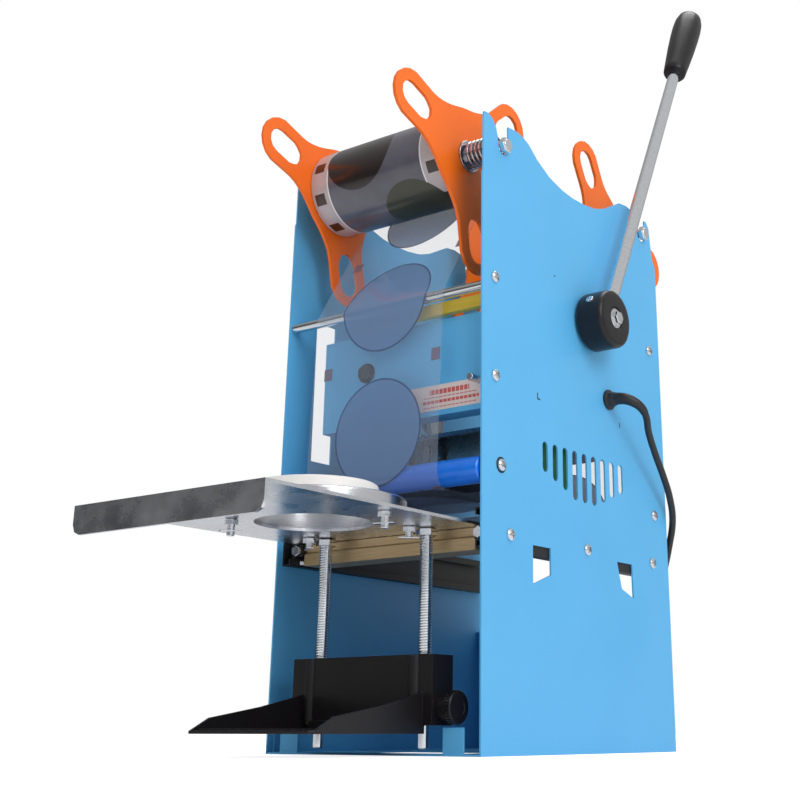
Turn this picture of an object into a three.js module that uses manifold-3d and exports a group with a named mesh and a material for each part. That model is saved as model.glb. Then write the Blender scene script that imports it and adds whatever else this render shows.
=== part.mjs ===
// Cup sealing machine with a hand lever, in millimetres.
// The origin is the middle of the base's underside; +X is the lever side, -Y is the front where the tray
// comes out, +Z is up. Inside the machine group Y is counted from the front edge of the side panels.
import * as THREE from 'three';
import { mergeVertices } from 'three/addons/utils/BufferGeometryUtils.js';
import Module from 'manifold-3d';

const wasm = await Module();
wasm.setup();

const HALF_WIDTH = 111;
const DEPTH = 306;
const SHEET = 1.5;
const GAP = 0.3;
const STEP_Z = 473;

const SUPPLY = { y: 31, z: 508 };
const TAKEUP = { y: 279, z: 503 };
const SHAFT = { y: 170, z: 378, radius: 6 };
const CRANK = 24;
const CRANK_REST = 40;
const LEVER_LEAN = 27;
const LEVER_X = 129;

const HEAD_Y = 149;
const HEAD_LIFT = 236;
const HEAD_PLATE_Z = 262;
const YOKE_PIN_Z = 303.4;
const POST_X = 85;

const RAIL_Z = 170;
const RAIL_HEIGHT = 32;
const TRAY_TOP = 175;
const TRAY_SHEET = 2.5;
const TRAY_HALF = 98.5;
const TRAY_FRONT = -224;
const RING_Y = -72;
const CUP_BORE = 46;
const ROD_X = 54.6;
const ROD_Y = 2.3;

const FILM_LEFT = -76;
const FILM_RIGHT = 69;
const ROLL_LEFT = -83;
const FILM_THICK = 0.6;
const ROLL_RADIUS = 41;
const FLANGE_REACH = 110;

const BLUE = new THREE.MeshStandardMaterial({ color: 0x6fb9f0, roughness: 0.45 });
const ORANGE = new THREE.MeshStandardMaterial({ color: 0xff7020, roughness: 0.45 });
const CHROME = new THREE.MeshStandardMaterial({ color: 0xd8dce0, metalness: 1, roughness: 0.15 });
const STEEL = new THREE.MeshStandardMaterial({ color: 0xa9acb0, metalness: 1, roughness: 0.35 });
const ALUMINIUM = new THREE.MeshStandardMaterial({ color: 0xc9ccd0, metalness: 1, roughness: 0.3 });
const BLACK_STEEL = new THREE.MeshStandardMaterial({ color: 0x1b1c1f, roughness: 0.5 });
const BLACK = new THREE.MeshStandardMaterial({ color: 0x2b2728, roughness: 0.55 });
const WHITE = new THREE.MeshStandardMaterial({ color: 0xf2f1ee, roughness: 0.5 });
const ROLLER_BLUE = new THREE.MeshStandardMaterial({ color: 0x0a6eeb, roughness: 0.25 });
const GOLD = new THREE.MeshStandardMaterial({ color: 0xe8c84c, roughness: 0.35 });
const FILM = new THREE.MeshStandardMaterial({ color: 0x9aa6b8, roughness: 0.2, transparent: true, opacity: 0.6 });
const BOARD = new THREE.MeshStandardMaterial({ color: 0x2f7a4a, roughness: 0.6 });

const root = new THREE.Group();
const machine = new THREE.Group();
machine.position.y = -DEPTH / 2;
root.add(machine);

function add(name, geometry, material) {
  const mesh = new THREE.Mesh(geometry, material);
  mesh.name = name;
  machine.add(mesh);
}

// ---- shapes -------------------------------------------------------------------------------------------

function box(x0, x1, y0, y1, z0, z1) {
  const made = new THREE.BoxGeometry(x1 - x0, y1 - y0, z1 - z0);
  return made.translate((x0 + x1) / 2, (y0 + y1) / 2, (z0 + z1) / 2);
}

function rodX(x0, x1, y, z, radius, sides = 24) {
  const made = new THREE.CylinderGeometry(radius, radius, x1 - x0, sides);
  return made.rotateZ(Math.PI / 2).translate((x0 + x1) / 2, y, z);
}

function rodZ(x, y, z0, z1, radius, sides = 24) {
  const made = new THREE.CylinderGeometry(radius, radius, z1 - z0, sides);
  return made.rotateX(Math.PI / 2).translate(x, y, (z0 + z1) / 2);
}

// A ring about the line through (x, y) along Z.
function ringZ(x, y, profile, sides = 40) {
  const points = profile.map(([r, z]) => new THREE.Vector2(r, z));
  const made = new THREE.LatheGeometry(points, sides);
  return made.rotateX(Math.PI / 2).translate(x, y, 0);
}

function tubeX(x0, x1, y, z, outer, inner, sides = 32) {
  const profile = [[inner, x0], [outer, x0], [outer, x1], [inner, x1], [inner, x0]];
  const points = profile.map(([r, h]) => new THREE.Vector2(r, h));
  const made = new THREE.LatheGeometry(points, sides);
  return made.rotateZ(-Math.PI / 2).translate(0, y, z);
}

function outline(points) {
  return new THREE.Shape(points.map(([a, b]) => new THREE.Vector2(a, b)));
}

function circlePoints(a, b, radius, sides = 24) {
  const points = [];
  for (let i = 0; i < sides; i += 1) {
    const angle = (2 * Math.PI * i) / sides;
    points.push([a + radius * Math.cos(angle), b + radius * Math.sin(angle)]);
  }
  return points;
}

// A slot with round ends, standing upright in the outline's own frame.
function slotPoints(a, low, high, width) {
  const radius = width / 2;
  const points = [];
  for (let i = 0; i <= 6; i += 1) {
    const angle = (Math.PI * i) / 6;
    points.push([a + radius * Math.cos(angle), high - radius + radius * Math.sin(angle)]);
  }
  for (let i = 0; i <= 6; i += 1) {
    const angle = Math.PI + (Math.PI * i) / 6;
    points.push([a + radius * Math.cos(angle), low + radius + radius * Math.sin(angle)]);
  }
  return points;
}

// An outline drawn in Y and Z, pushed along X.
function plateX(shape, x0, x1) {
  const made = new THREE.ExtrudeGeometry(shape, { depth: x1 - x0, bevelEnabled: false, curveSegments: 10 });
  const axes = new THREE.Matrix4().makeBasis(
    new THREE.Vector3(0, 1, 0),
    new THREE.Vector3(0, 0, 1),
    new THREE.Vector3(1, 0, 0),
  );
  return made.applyMatrix4(axes).translate(x0, 0, 0);
}

// An outline drawn in X and Z, pushed along Y from y0 to y1.
function plateY(shape, y0, y1) {
  const made = new THREE.ExtrudeGeometry(shape, { depth: y1 - y0, bevelEnabled: false, curveSegments: 10 });
  return made.rotateX(Math.PI / 2).translate(0, y1, 0);
}

// An outline drawn in X and Y, pushed up along Z.
function plateZ(shape, z0, z1) {
  const made = new THREE.ExtrudeGeometry(shape, { depth: z1 - z0, bevelEnabled: false, curveSegments: 10 });
  return made.translate(0, 0, z0);
}

function solid(geometry) {
  const bare = geometry.clone();
  bare.deleteAttribute('normal');
  bare.deleteAttribute('uv');
  const merged = mergeVertices(bare, 1e-4);
  const vertProperties = new Float32Array(merged.attributes.position.array);
  const triVerts = new Uint32Array(merged.index.array);
  return new wasm.Manifold(new wasm.Mesh({ numProp: 3, vertProperties, triVerts }));
}

function geometryOf(made) {
  const mesh = made.getMesh();
  const geometry = new THREE.BufferGeometry();
  geometry.setAttribute('position', new THREE.BufferAttribute(new Float32Array(mesh.vertProperties), 3));
  geometry.setIndex(new THREE.BufferAttribute(new Uint32Array(mesh.triVerts), 1));
  geometry.computeVertexNormals();
  return geometry;
}

function join(...geometries) {
  let made = solid(geometries[0]);
  for (const geometry of geometries.slice(1)) {
    made = made.add(solid(geometry));
  }
  return geometryOf(made);
}

function cut(body, ...tools) {
  let made = solid(body);
  for (const tool of tools) {
    made = made.subtract(solid(tool));
  }
  return geometryOf(made);
}

// An outline pushed through by the given function, with every opening cut clean through it.
function pierced(push, points, openings, low, high) {
  const tools = openings.map((opening) => push(outline(opening), low - 3, high + 3));
  return cut(push(outline(points), low, high), ...tools);
}

// ---- side panels ---------------------------------------------------------------------------------------

// The outline shared by both side panels, drawn in Y and Z, anticlockwise from the front foot.
function panelPoints() {
  const rear = [
    [0, 0], [DEPTH, 0], [DEPTH, STEP_Z], [DEPTH - 5, 480], [DEPTH - 7.5, 494], [DEPTH - 10, 514],
    [291, 520], [287, 520],
  ];
  const rearNotch = [
    [287, 503], [284.6, 497], [279, 494.5], [273.4, 497], [271, 503], [271, 518],
  ];
  const dip = [
    [262, 523], [250, 524.5], [236, 523], [222, 515.5], [205, 506.5], [187, 500.5], [167, 498],
    [146, 497.6], [128, 499.5], [107, 504.7], [86, 515], [72, 525.5], [62, 529.5], [52, 531], [39, 530],
  ];
  const frontNotch = [
    [39, 508], [36.6, 502.3], [31, 500], [25.4, 502.3], [23, 508], [23, 514],
  ];
  const lobe = [
    [20.5, 522], [15, 529], [8, 532], [2.5, 531.5], [1.2, 527], [1.2, STEP_Z + 3], [0, STEP_Z],
  ];
  return [...rear, ...rearNotch, ...dip, ...frontNotch, ...lobe];
}

function rightPanel() {
  const bottoms = [226, 220.5, 215, 208.5, 208, 208, 213, 219.5, 225];
  const openings = [
    ...bottoms.map((low, i) => slotPoints(92.4 + 15.9 * i, low, 252.5, 8.2)),
    [[72, 131], [98.8, 140.5], [98.8, 162.5], [72, 162.5]],
    [[208.6, 162.5], [216, 139], [237, 132], [236, 162.5]],
    circlePoints(SHAFT.y, SHAFT.z, SHAFT.radius + 0.6),
    circlePoints(201.4, 311, 5.2, 20),
  ];
  return pierced(plateX, panelPoints(), openings, HALF_WIDTH - SHEET, HALF_WIDTH);
}

function leftPanel() {
  const openings = [
    [[36, 252], [62, 252], [62, 385], [36, 385]],
    circlePoints(SHAFT.y, SHAFT.z, SHAFT.radius + 0.6),
    [[196, 292], [216, 292], [216, 306], [196, 306]],
    circlePoints(206, 326, 4),
  ];
  return pierced(plateX, panelPoints(), openings, -HALF_WIDTH, SHEET - HALF_WIDTH);
}

// ---- fixed frame ---------------------------------------------------------------------------------------

// The floor of the machine: a sheet with two big openings, side flanges and two tabs turned up at the front.
function basePlate() {
  const half = HALF_WIDTH - SHEET - GAP;
  const sheet = plateZ(outline([[-half, 0], [half, 0], [half, DEPTH - 2], [-half, DEPTH - 2]]), 0, SHEET);
  const openings = [box(-72, 72, 24, 143, -5, 5), box(-72, 72, 163, 250, -5, 5)];
  const flanges = [-1, 1].map((side) => {
    const inner = side * (half - SHEET);
    const outer = side * half;
    return box(Math.min(inner, outer), Math.max(inner, outer), 6, DEPTH - 6, 0, 18);
  });
  const tabs = [-1, 1].map((side) => {
    const near = side * 75;
    const far = side * 95;
    return box(Math.min(near, far), Math.max(near, far), 0, SHEET, 0, 20.5);
  });
  return join(cut(sheet, ...openings), ...flanges, ...tabs);
}

function lowerBackPanel() {
  const half = HALF_WIDTH - SHEET - GAP;
  const wall = box(-half, half, DEPTH - SHEET - GAP, DEPTH - GAP, 2, 115);
  const lip = box(-half, half, DEPTH - 12, DEPTH - SHEET - GAP + 0.5, 113.5, 115);
  return join(wall, lip);
}

// The blue cover behind the film: an upright face with a ledge folded back at its foot and its head.
function frontCover() {
  const right = HALF_WIDTH - SHEET - GAP;
  const profile = [
    [14, 268], [34, 268], [34, 269.5], [15.5, 269.5], [15.5, 350.5], [34, 350.5], [34, 352], [14, 352],
  ];
  return plateX(outline(profile), -76, right);
}

function rail(side) {
  const low = RAIL_Z - RAIL_HEIGHT / 2;
  const high = RAIL_Z + RAIL_HEIGHT / 2;
  const back = HALF_WIDTH - SHEET - GAP;
  const mouth = back - 9;
  const section = [
    [back, low], [back, high], [mouth, high], [mouth, high - 6], [mouth + 1.5, high - 6],
    [mouth + 1.5, high - 1.5], [back - 1.5, high - 1.5], [back - 1.5, low + 1.5], [mouth + 1.5, low + 1.5],
    [mouth + 1.5, low + 6], [mouth, low + 6], [mouth, low],
  ];
  return plateY(outline(section.map(([x, z]) => [side * x, z])), 6, 298);
}

// The black frame under the heater, open in the middle, with its front edge turned up.
function lowerFrame() {
  const half = HALF_WIDTH - SHEET - GAP;
  const edge = [[-half, 48], [half, 48], [half, 250], [-half, 250]];
  const lip = box(-half, half, 48, 49.5, 207, 222);
  return join(pierced(plateZ, edge, [circlePoints(0, HEAD_Y, 66, 40)], 207, 210), lip);
}

function topPlate() {
  const half = HALF_WIDTH - SHEET - GAP;
  const edge = [[-half, 122], [half, 122], [half, 180], [-half, 180]];
  const openings = [-1, 1].flatMap((side) => [
    [[side * 50, 130], [side * 76, 130], [side * 76, 172], [side * 50, 172]],
    circlePoints(side * POST_X, HEAD_Y, 6.3),
  ]);
  return pierced(plateZ, edge, openings, 335, 338);
}

function filmWeb() {
  const rodTouch = { y: 6, z: 371, radius: 5.1 };
  const line = [[67.6, 487.2]];
  for (const angle of [151, 166, 181]) {
    const turn = (angle * Math.PI) / 180;
    line.push([rodTouch.y + rodTouch.radius * Math.cos(turn), rodTouch.z + rodTouch.radius * Math.sin(turn)]);
  }
  for (const angle of [178, 205, 225, 245, 268]) {
    const turn = (angle * Math.PI) / 180;
    line.push([8 + 12 * Math.cos(turn), 216 + 12 * Math.sin(turn)]);
  }
  for (const angle of [272, 300, 330, 358]) {
    const turn = (angle * Math.PI) / 180;
    line.push([290 + 5.9 * Math.cos(turn), 210.5 + 5.9 * Math.sin(turn)]);
  }
  line.push([299.6, 500]);
  const left = [];
  const right = [];
  line.forEach(([y, z], i) => {
    const before = line[Math.max(i - 1, 0)];
    const after = line[Math.min(i + 1, line.length - 1)];
    const length = Math.hypot(after[0] - before[0], after[1] - before[1]);
    const across = [(after[1] - before[1]) / length, (before[0] - after[0]) / length];
    right.push([y + (across[0] * FILM_THICK) / 2, z + (across[1] * FILM_THICK) / 2]);
    left.push([y - (across[0] * FILM_THICK) / 2, z - (across[1] * FILM_THICK) / 2]);
  });
  return plateX(outline([...right.reverse(), ...left]), FILM_LEFT, FILM_RIGHT);
}

// ---- film rolls ----------------------------------------------------------------------------------------

// A flat star with three round arms, an oblong hole near each tip and a bore for its shaft.
function flange(axle, firstArm, x0, x1) {
  const tip = 24;
  const points = [];
  for (let arm = 0; arm < 3; arm += 1) {
    const lean = ((firstArm + 120 * arm) * Math.PI) / 180;
    const place = (along, across) => [
      axle.y + along * Math.cos(lean) - across * Math.sin(lean),
      axle.z + along * Math.sin(lean) + across * Math.cos(lean),
    ];
    points.push(place(44, -27.5), place(60, -23));
    for (let i = -4; i <= 4; i += 1) {
      const turn = (i * Math.PI) / 9;
      points.push(place(FLANGE_REACH - tip + tip * Math.cos(turn), tip * Math.sin(turn)));
    }
    points.push(place(60, 23), place(44, 27.5));
    const waist = lean + Math.PI / 3;
    points.push([axle.y + 47 * Math.cos(waist), axle.z + 47 * Math.sin(waist)]);
  }
  const openings = [circlePoints(axle.y, axle.z, 6.2, 20)];
  for (let arm = 0; arm < 3; arm += 1) {
    const lean = ((firstArm + 120 * arm) * Math.PI) / 180;
    openings.push(slotPoints(0, 58, 100, 24).map(([a, b]) => [
      axle.y + b * Math.cos(lean) - a * Math.sin(lean),
      axle.z + b * Math.sin(lean) + a * Math.cos(lean),
    ]));
  }
  return pierced(plateX, points, openings, x0, x1);
}

function rollShaft(axle) {
  const bar = rodX(-117, 117, axle.y, axle.z, 5.8, 20);
  const heads = [-1, 1].map((side) => {
    const near = side * (HALF_WIDTH + 0.6);
    const far = side * 117;
    return rodX(Math.min(near, far), Math.max(near, far), axle.y, axle.z, 10, 6);
  });
  return join(bar, ...heads);
}

// ---- lever and linkage ---------------------------------------------------------------------------------

const crankPin = {
  y: SHAFT.y - CRANK * Math.cos((CRANK_REST * Math.PI) / 180),
  z: SHAFT.z + CRANK * Math.sin((CRANK_REST * Math.PI) / 180),
};

// A flat arm with round ends between two centres, drawn in Y and Z.
function armPoints(from, to, fromRadius, toRadius) {
  const along = Math.atan2(to.z - from.z, to.y - from.y);
  const points = [];
  for (let i = 0; i <= 10; i += 1) {
    const turn = along - Math.PI / 2 + (Math.PI * i) / 10;
    points.push([to.y + toRadius * Math.cos(turn), to.z + toRadius * Math.sin(turn)]);
  }
  for (let i = 0; i <= 10; i += 1) {
    const turn = along + Math.PI / 2 + (Math.PI * i) / 10;
    points.push([from.y + fromRadius * Math.cos(turn), from.z + fromRadius * Math.sin(turn)]);
  }
  return points;
}

function crank(side) {
  const bore = circlePoints(SHAFT.y, SHAFT.z, SHAFT.radius + 0.1);
  const ends = [side * 65, side * 70].sort((a, b) => a - b);
  const arm = pierced(plateX, armPoints(SHAFT, crankPin, 12, 8.5), [bore], ...ends);
  const pinNear = side * 57.3;
  const pin = rodX(Math.min(pinNear, side * 68), Math.max(pinNear, side * 68), crankPin.y, crankPin.z, 4);
  return join(arm, pin);
}

function link(side) {
  const low = { y: crankPin.y, z: YOKE_PIN_Z };
  const openings = [circlePoints(crankPin.y, crankPin.z, 4.5), circlePoints(low.y, low.z, 7.6)];
  const ends = [side * 58.4, side * 63.4].sort((a, b) => a - b);
  return pierced(plateX, armPoints(low, crankPin, 12.5, 9), openings, ...ends);
}

// A round bar that leans back from the lever's axis, between two distances from it.
function leverBar(from, to, lowRadius, highRadius) {
  const made = new THREE.CylinderGeometry(highRadius, lowRadius, to - from, 24);
  made.translate(0, (from + to) / 2, 0).rotateX(Math.PI / 2);
  return made.rotateX((-LEVER_LEAN * Math.PI) / 180).translate(LEVER_X, SHAFT.y, SHAFT.z);
}

function leverGrip() {
  const profile = [[6.5, 372], [13, 372], [15.2, 378], [16.6, 440], [16.2, 464], [12, 475], [6.5, 480], [0, 481]];
  const points = [...profile, [0, 430], [6.5, 430], [6.5, 372]].map(([r, h]) => new THREE.Vector2(r, h));
  const made = new THREE.LatheGeometry(points, 24).rotateX(Math.PI / 2);
  return made.rotateX((-LEVER_LEAN * Math.PI) / 180).translate(LEVER_X, SHAFT.y, SHAFT.z);
}

// ---- sealing head --------------------------------------------------------------------------------------

function headPlate() {
  const edge = [[-96, 62], [96, 62], [96, 236], [-96, 236]];
  const bores = [-1, 1].map((side) => circlePoints(side * POST_X, HEAD_Y, 6.6));
  const plate = pierced(plateZ, edge, bores, HEAD_PLATE_Z, HEAD_PLATE_Z + 4);
  const bolts = [[-18, -56], [18, 56], [-56, 18], [56, -18]].map(([x, y]) => (
    rodZ(x, HEAD_Y + y, HEAD_LIFT + 10.4, HEAD_PLATE_Z + 1, 4, 12)
  ));
  return join(plate, ...bolts);
}

function cutterRing() {
  const base = HEAD_LIFT;
  const profile = [
    [60.5, base], [62, base + 3], [62, base + 10], [54, base + 10], [54, base + 8.5], [60, base + 8.5],
    [60, base + 1], [60.5, base],
  ];
  return ringZ(0, HEAD_Y, profile, 40);
}

function headYoke() {
  const foot = box(-72, 72, 135, 163, HEAD_PLATE_Z + 4 + GAP, HEAD_PLATE_Z + 9);
  const ears = [-1, 1].map((side) => {
    const near = side * 51;
    const far = side * 56;
    return box(Math.min(near, far), Math.max(near, far), 139, 159, HEAD_PLATE_Z + 6, YOKE_PIN_Z + 10);
  });
  const pins = [-1, 1].map((side) => {
    const near = side * 53;
    const far = side * 64.6;
    return rodX(Math.min(near, far), Math.max(near, far), HEAD_Y, YOKE_PIN_Z, 4);
  });
  return join(foot, ...ears, ...pins);
}

// ---- tray ----------------------------------------------------------------------------------------------

function trayPlate() {
  const low = TRAY_TOP - TRAY_SHEET;
  const edge = [
    [-TRAY_HALF, TRAY_FRONT + 1], [TRAY_HALF, TRAY_FRONT + 1], [TRAY_HALF, 40], [-TRAY_HALF, 40],
  ];
  const plate = pierced(plateZ, edge, [circlePoints(0, RING_Y, CUP_BORE + 1, 40)], low, TRAY_TOP);
  const lip = outline([
    [-TRAY_HALF, TRAY_TOP], [-TRAY_HALF, 161], [2.4 - TRAY_HALF, 155.4], [8 - TRAY_HALF, 153],
    [TRAY_HALF - 8, 153], [TRAY_HALF - 2.4, 155.4], [TRAY_HALF, 161], [TRAY_HALF, TRAY_TOP],
  ]);
  return join(plate, plateY(lip, TRAY_FRONT, TRAY_FRONT + TRAY_SHEET));
}

function dieRing() {
  const base = TRAY_TOP + GAP;
  const profile = [
    [CUP_BORE + 1, base], [73, base], [73, base + 13.5], [71.5, base + 15], [CUP_BORE + 1, base + 15],
    [CUP_BORE + 1, base],
  ];
  return ringZ(0, RING_Y, profile, 48);
}

function seatRing() {
  const base = TRAY_TOP + 15 + 2 * GAP;
  const profile = [
    [CUP_BORE, base], [53, base], [53, base + 2], [48.5, base + 11.4], [CUP_BORE, base + 11.4], [CUP_BORE, base],
  ];
  return ringZ(0, RING_Y, profile, 48);
}

// The folded channel under the rear of the tray plate that ties it to the two carriages.
function trayBeam() {
  const top = TRAY_TOP - TRAY_SHEET - GAP;
  const profile = [
    [16, 154], [42, 154], [42, 156], [18, 156], [18, 163], [20.5, 164.5], [20.5, top - 2], [42, top - 2],
    [42, top], [18.5, top], [18.5, 165.5], [16, 164],
  ];
  return plateX(outline(profile), -93, 93);
}

// A block that runs in its rail, with a foot under the plate that reaches the beam's end.
function carriage(side) {
  const railMouth = HALF_WIDTH - SHEET - GAP - 9;
  const sorted = (a, b) => [Math.min(side * a, side * b), Math.max(side * a, side * b)];
  const foot = sorted(93.3, railMouth + 2.3);
  const head = sorted(railMouth + 2, railMouth + 7);
  const arm = box(...foot, 14, 46, RAIL_Z - 8, TRAY_TOP - TRAY_SHEET - GAP);
  const runner = box(...head, 14, 46, RAIL_Z - 13.8, RAIL_Z + 13.8);
  return join(arm, runner);
}

// A threaded hanging rod: full thread above, a plain thinner end below.
function hangingRod(side) {
  const top = TRAY_TOP - TRAY_SHEET - GAP;
  return join(
    rodZ(side * ROD_X, ROD_Y, 44, top, 5.6, 20),
    rodZ(side * ROD_X, ROD_Y, 5, 45, 4.3, 20),
    rodZ(side * ROD_X, ROD_Y, top - 6, top, 9, 6),
  );
}

// The cup holder: a shallow scoop with rising side walls and a tall rear housing that slides on the rods.
function cupHolder() {
  const low = 16;
  const floor = plateZ(outline([[-60, -132], [60, -132], [64, -126], [64, -10], [-64, -10], [-64, -126]]), low, low + 2.4);
  const wall = outline([[-126, low], [-10, low], [-10, 46], [-57, 36], [-110, 27.5], [-128, 18.4]]);
  const walls = [plateX(wall, -64, -61.6), plateX(wall, 61.6, 64)];
  const housing = join(
    box(-73, 73, -11, -8.4, 22, 74),
    box(-73, 73, -11, 15, 22, 24.4),
    box(-73, -70.6, -11, 15, 22, 74),
    box(70.6, 73, -11, 15, 22, 74),
    box(-64, 64, -13, -8.4, low, 26),
  );
  const sleeves = [-1, 1].map((side) => rodZ(side * ROD_X, ROD_Y, 22, 62, 10, 24));
  const webs = [-1, 1].map((side) => box(side * ROD_X - 1.5, side * ROD_X + 1.5, -10, ROD_Y, 22, 62));
  const bores = [-1, 1].map((side) => rodZ(side * ROD_X, ROD_Y, 10, 70, 6, 24));
  return cut(join(floor, ...walls, housing, ...sleeves, ...webs), ...bores);
}

function holderKnob() {
  const y = ROD_Y;
  const z = 35;
  return join(
    rodX(73.3, 82, y, z, 9.5, 24),
    rodX(81, 89, y, z, 12.5, 24),
  );
}

// ---- controls and mains lead ---------------------------------------------------------------------------

function controlBoard() {
  const board = box(101.5, 103.1, 80, 144, 212, 262);
  const parts = [
    box(84, 101.6, 86, 108, 214, 230),
    box(92, 101.6, 112, 126, 215, 229),
    rodX(90, 101.6, 135, 222, 5.5, 16),
  ];
  return join(board, ...parts);
}

function tubeAlong(points, radius, steps, sides) {
  const curve = new THREE.CatmullRomCurve3(points.map(([x, y, z]) => new THREE.Vector3(x, y, z)), false, 'centripetal');
  const circle = outline(circlePoints(0, 0, radius, sides));
  return new THREE.ExtrudeGeometry(circle, { steps, extrudePath: curve, bevelEnabled: false });
}

// ---- assembly ------------------------------------------------------------------------------------------

add('right_panel', rightPanel(), BLUE);
add('left_panel', leftPanel(), BLUE);
add('base_plate', basePlate(), BLUE);
add('lower_back_panel', lowerBackPanel(), BLUE);
add('front_cover', frontCover(), BLUE);
add('film_guide_rod', rodX(-109.2, 109.2, 6, 371, 4.6), CHROME);
add('film_bar', box(-40, 109.2, 8, 16, 354.5, 365.5), GOLD);
add('rear_guide_rod', rodX(-109.2, 109.2, 290, 210.5, 5.2), CHROME);
add('rail_left', rail(-1), BLACK_STEEL);
add('rail_right', rail(1), BLACK_STEEL);
add('lower_frame', lowerFrame(), BLACK_STEEL);
add('top_plate', topPlate(), STEEL);
for (const side of [-1, 1]) {
  const label = side < 0 ? 'left' : 'right';
  add(`guide_post_${label}`, rodZ(side * POST_X, HEAD_Y, 210 + GAP, 342, 6), CHROME);
}
add('film_web', filmWeb(), FILM);

add('supply_shaft', rollShaft(SUPPLY), CHROME);
add('film_roll', tubeX(ROLL_LEFT, FILM_RIGHT, SUPPLY.y, SUPPLY.z, ROLL_RADIUS, 6.2), FILM);
add('supply_flange_left', flange(SUPPLY, 162, ROLL_LEFT - 3.3, ROLL_LEFT - GAP), ORANGE);
add('supply_flange_right', flange(SUPPLY, 160, FILM_RIGHT + GAP, FILM_RIGHT + 3.3), ORANGE);
add('supply_spring_left', tubeX(-100, ROLL_LEFT - 3.6, SUPPLY.y, SUPPLY.z, 13, 6.2, 24), CHROME);
add('supply_spring_right', tubeX(FILM_RIGHT + 3.6, 100, SUPPLY.y, SUPPLY.z, 13, 6.2, 24), CHROME);

add('takeup_shaft', rollShaft(TAKEUP), CHROME);
add('waste_roll', tubeX(FILM_LEFT, FILM_RIGHT, TAKEUP.y, TAKEUP.z, 20, 6.2, 28), FILM);
add('takeup_flange_left', flange(TAKEUP, 118, FILM_LEFT - 3.3, FILM_LEFT - GAP), ORANGE);
add('takeup_flange_right', flange(TAKEUP, 118, FILM_RIGHT + GAP, FILM_RIGHT + 3.3), ORANGE);

add('guide_roller', rodX(-108.9, 108.9, 8, 216, 11, 28), ROLLER_BLUE);

add('main_shaft', rodX(-114, 134, SHAFT.y, SHAFT.z, SHAFT.radius), STEEL);
add('crank_left', crank(-1), STEEL);
add('crank_right', crank(1), STEEL);
add('link_left', link(-1), STEEL);
add('link_right', link(1), STEEL);
add('lever_hub', cut(rodX(113, 141, SHAFT.y, SHAFT.z, 27.5, 40), rodX(100, 134.3, SHAFT.y, SHAFT.z, 6.1), leverBar(12, 60, 6.7, 6.7)), BLACK);
add('lever_rod', leverBar(12.3, 428, 6.4, 6.4), CHROME);
add('lever_grip', leverGrip(), BLACK);
add('hub_bolt', rodX(141.3, 146, SHAFT.y, SHAFT.z, 6.5, 6), STEEL);

add('head_plate', headPlate(), STEEL);
add('heating_plate', rodZ(0, HEAD_Y, HEAD_LIFT + 1.2, HEAD_LIFT + 8.2, 52, 40), ALUMINIUM);
add('cutter_ring', cutterRing(), STEEL);
add('head_yoke', headYoke(), STEEL);
for (const side of [-1, 1]) {
  const label = side < 0 ? 'left' : 'right';
  const coil = [[7.2, 210.4], [8.8, 210.4], [8.8, HEAD_PLATE_Z - 0.4], [7.2, HEAD_PLATE_Z - 0.4], [7.2, 210.4]];
  add(`return_spring_${label}`, ringZ(side * POST_X, HEAD_Y, coil, 20), CHROME);
}

add('tray_plate', trayPlate(), ALUMINIUM);
add('die_ring', dieRing(), ALUMINIUM);
add('seat_ring', seatRing(), WHITE);
add('tray_beam', trayBeam(), ALUMINIUM);
add('carriage_left', carriage(-1), BLACK_STEEL);
add('carriage_right', carriage(1), BLACK_STEEL);
add('rod_left', hangingRod(-1), CHROME);
add('rod_right', hangingRod(1), CHROME);
add('cup_holder', cupHolder(), BLACK);
add('holder_knob', holderKnob(), BLACK);

add('control_board', controlBoard(), BOARD);
add('power_switch', box(-114.5, -106, 198, 214, 293, 305), BLACK);
add('temperature_knob', join(rodX(-123, -111.4, 206, 326, 13), rodX(-112, -105, 206, 326, 3)), BLACK);

add('strain_relief', join(rodX(106.5, 113, 201.4, 311, 4.9, 20), rodX(111.3, 119, 201.4, 311, 9.5, 20)), BLACK);
add('power_cord', tubeAlong([
  [119.6, 201.4, 311], [120.2, 201.4, 311], [128.7, 202.9, 309.9], [135.5, 207.1, 306.7],
  [139.5, 213.3, 302.1], [140.1, 218.8, 298], [134, 236, 283], [130, 254, 267], [126.5, 275, 249],
  [122.5, 294, 231], [116, 310, 211], [105, 321, 188], [92.5, 328, 158], [83, 332, 122], [75, 334.5, 88],
  [66, 335, 56], [55, 335, 29], [41, 334, 11], [26, 332.6, 3.9], [15, 331.3, 3.5],
], 3.3, 44, 8), BLACK);
const coilRing = [[20, 0.4], [44.5, 0.4], [46.5, 2.4], [46.5, 15], [44.5, 17], [20, 17], [18, 15], [18, 2.4], [20, 0.4]];
add('cord_coil', ringZ(-24, 372, coilRing, 40), BLACK);
add('mains_plug', join(box(-103, -74, 319, 347, 0.4, 20), rodX(-75, -71, 333, 10, 5, 16)), BLACK);

export default root;
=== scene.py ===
import math
import bpy
import bmesh
from mathutils import Matrix, Vector


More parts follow.
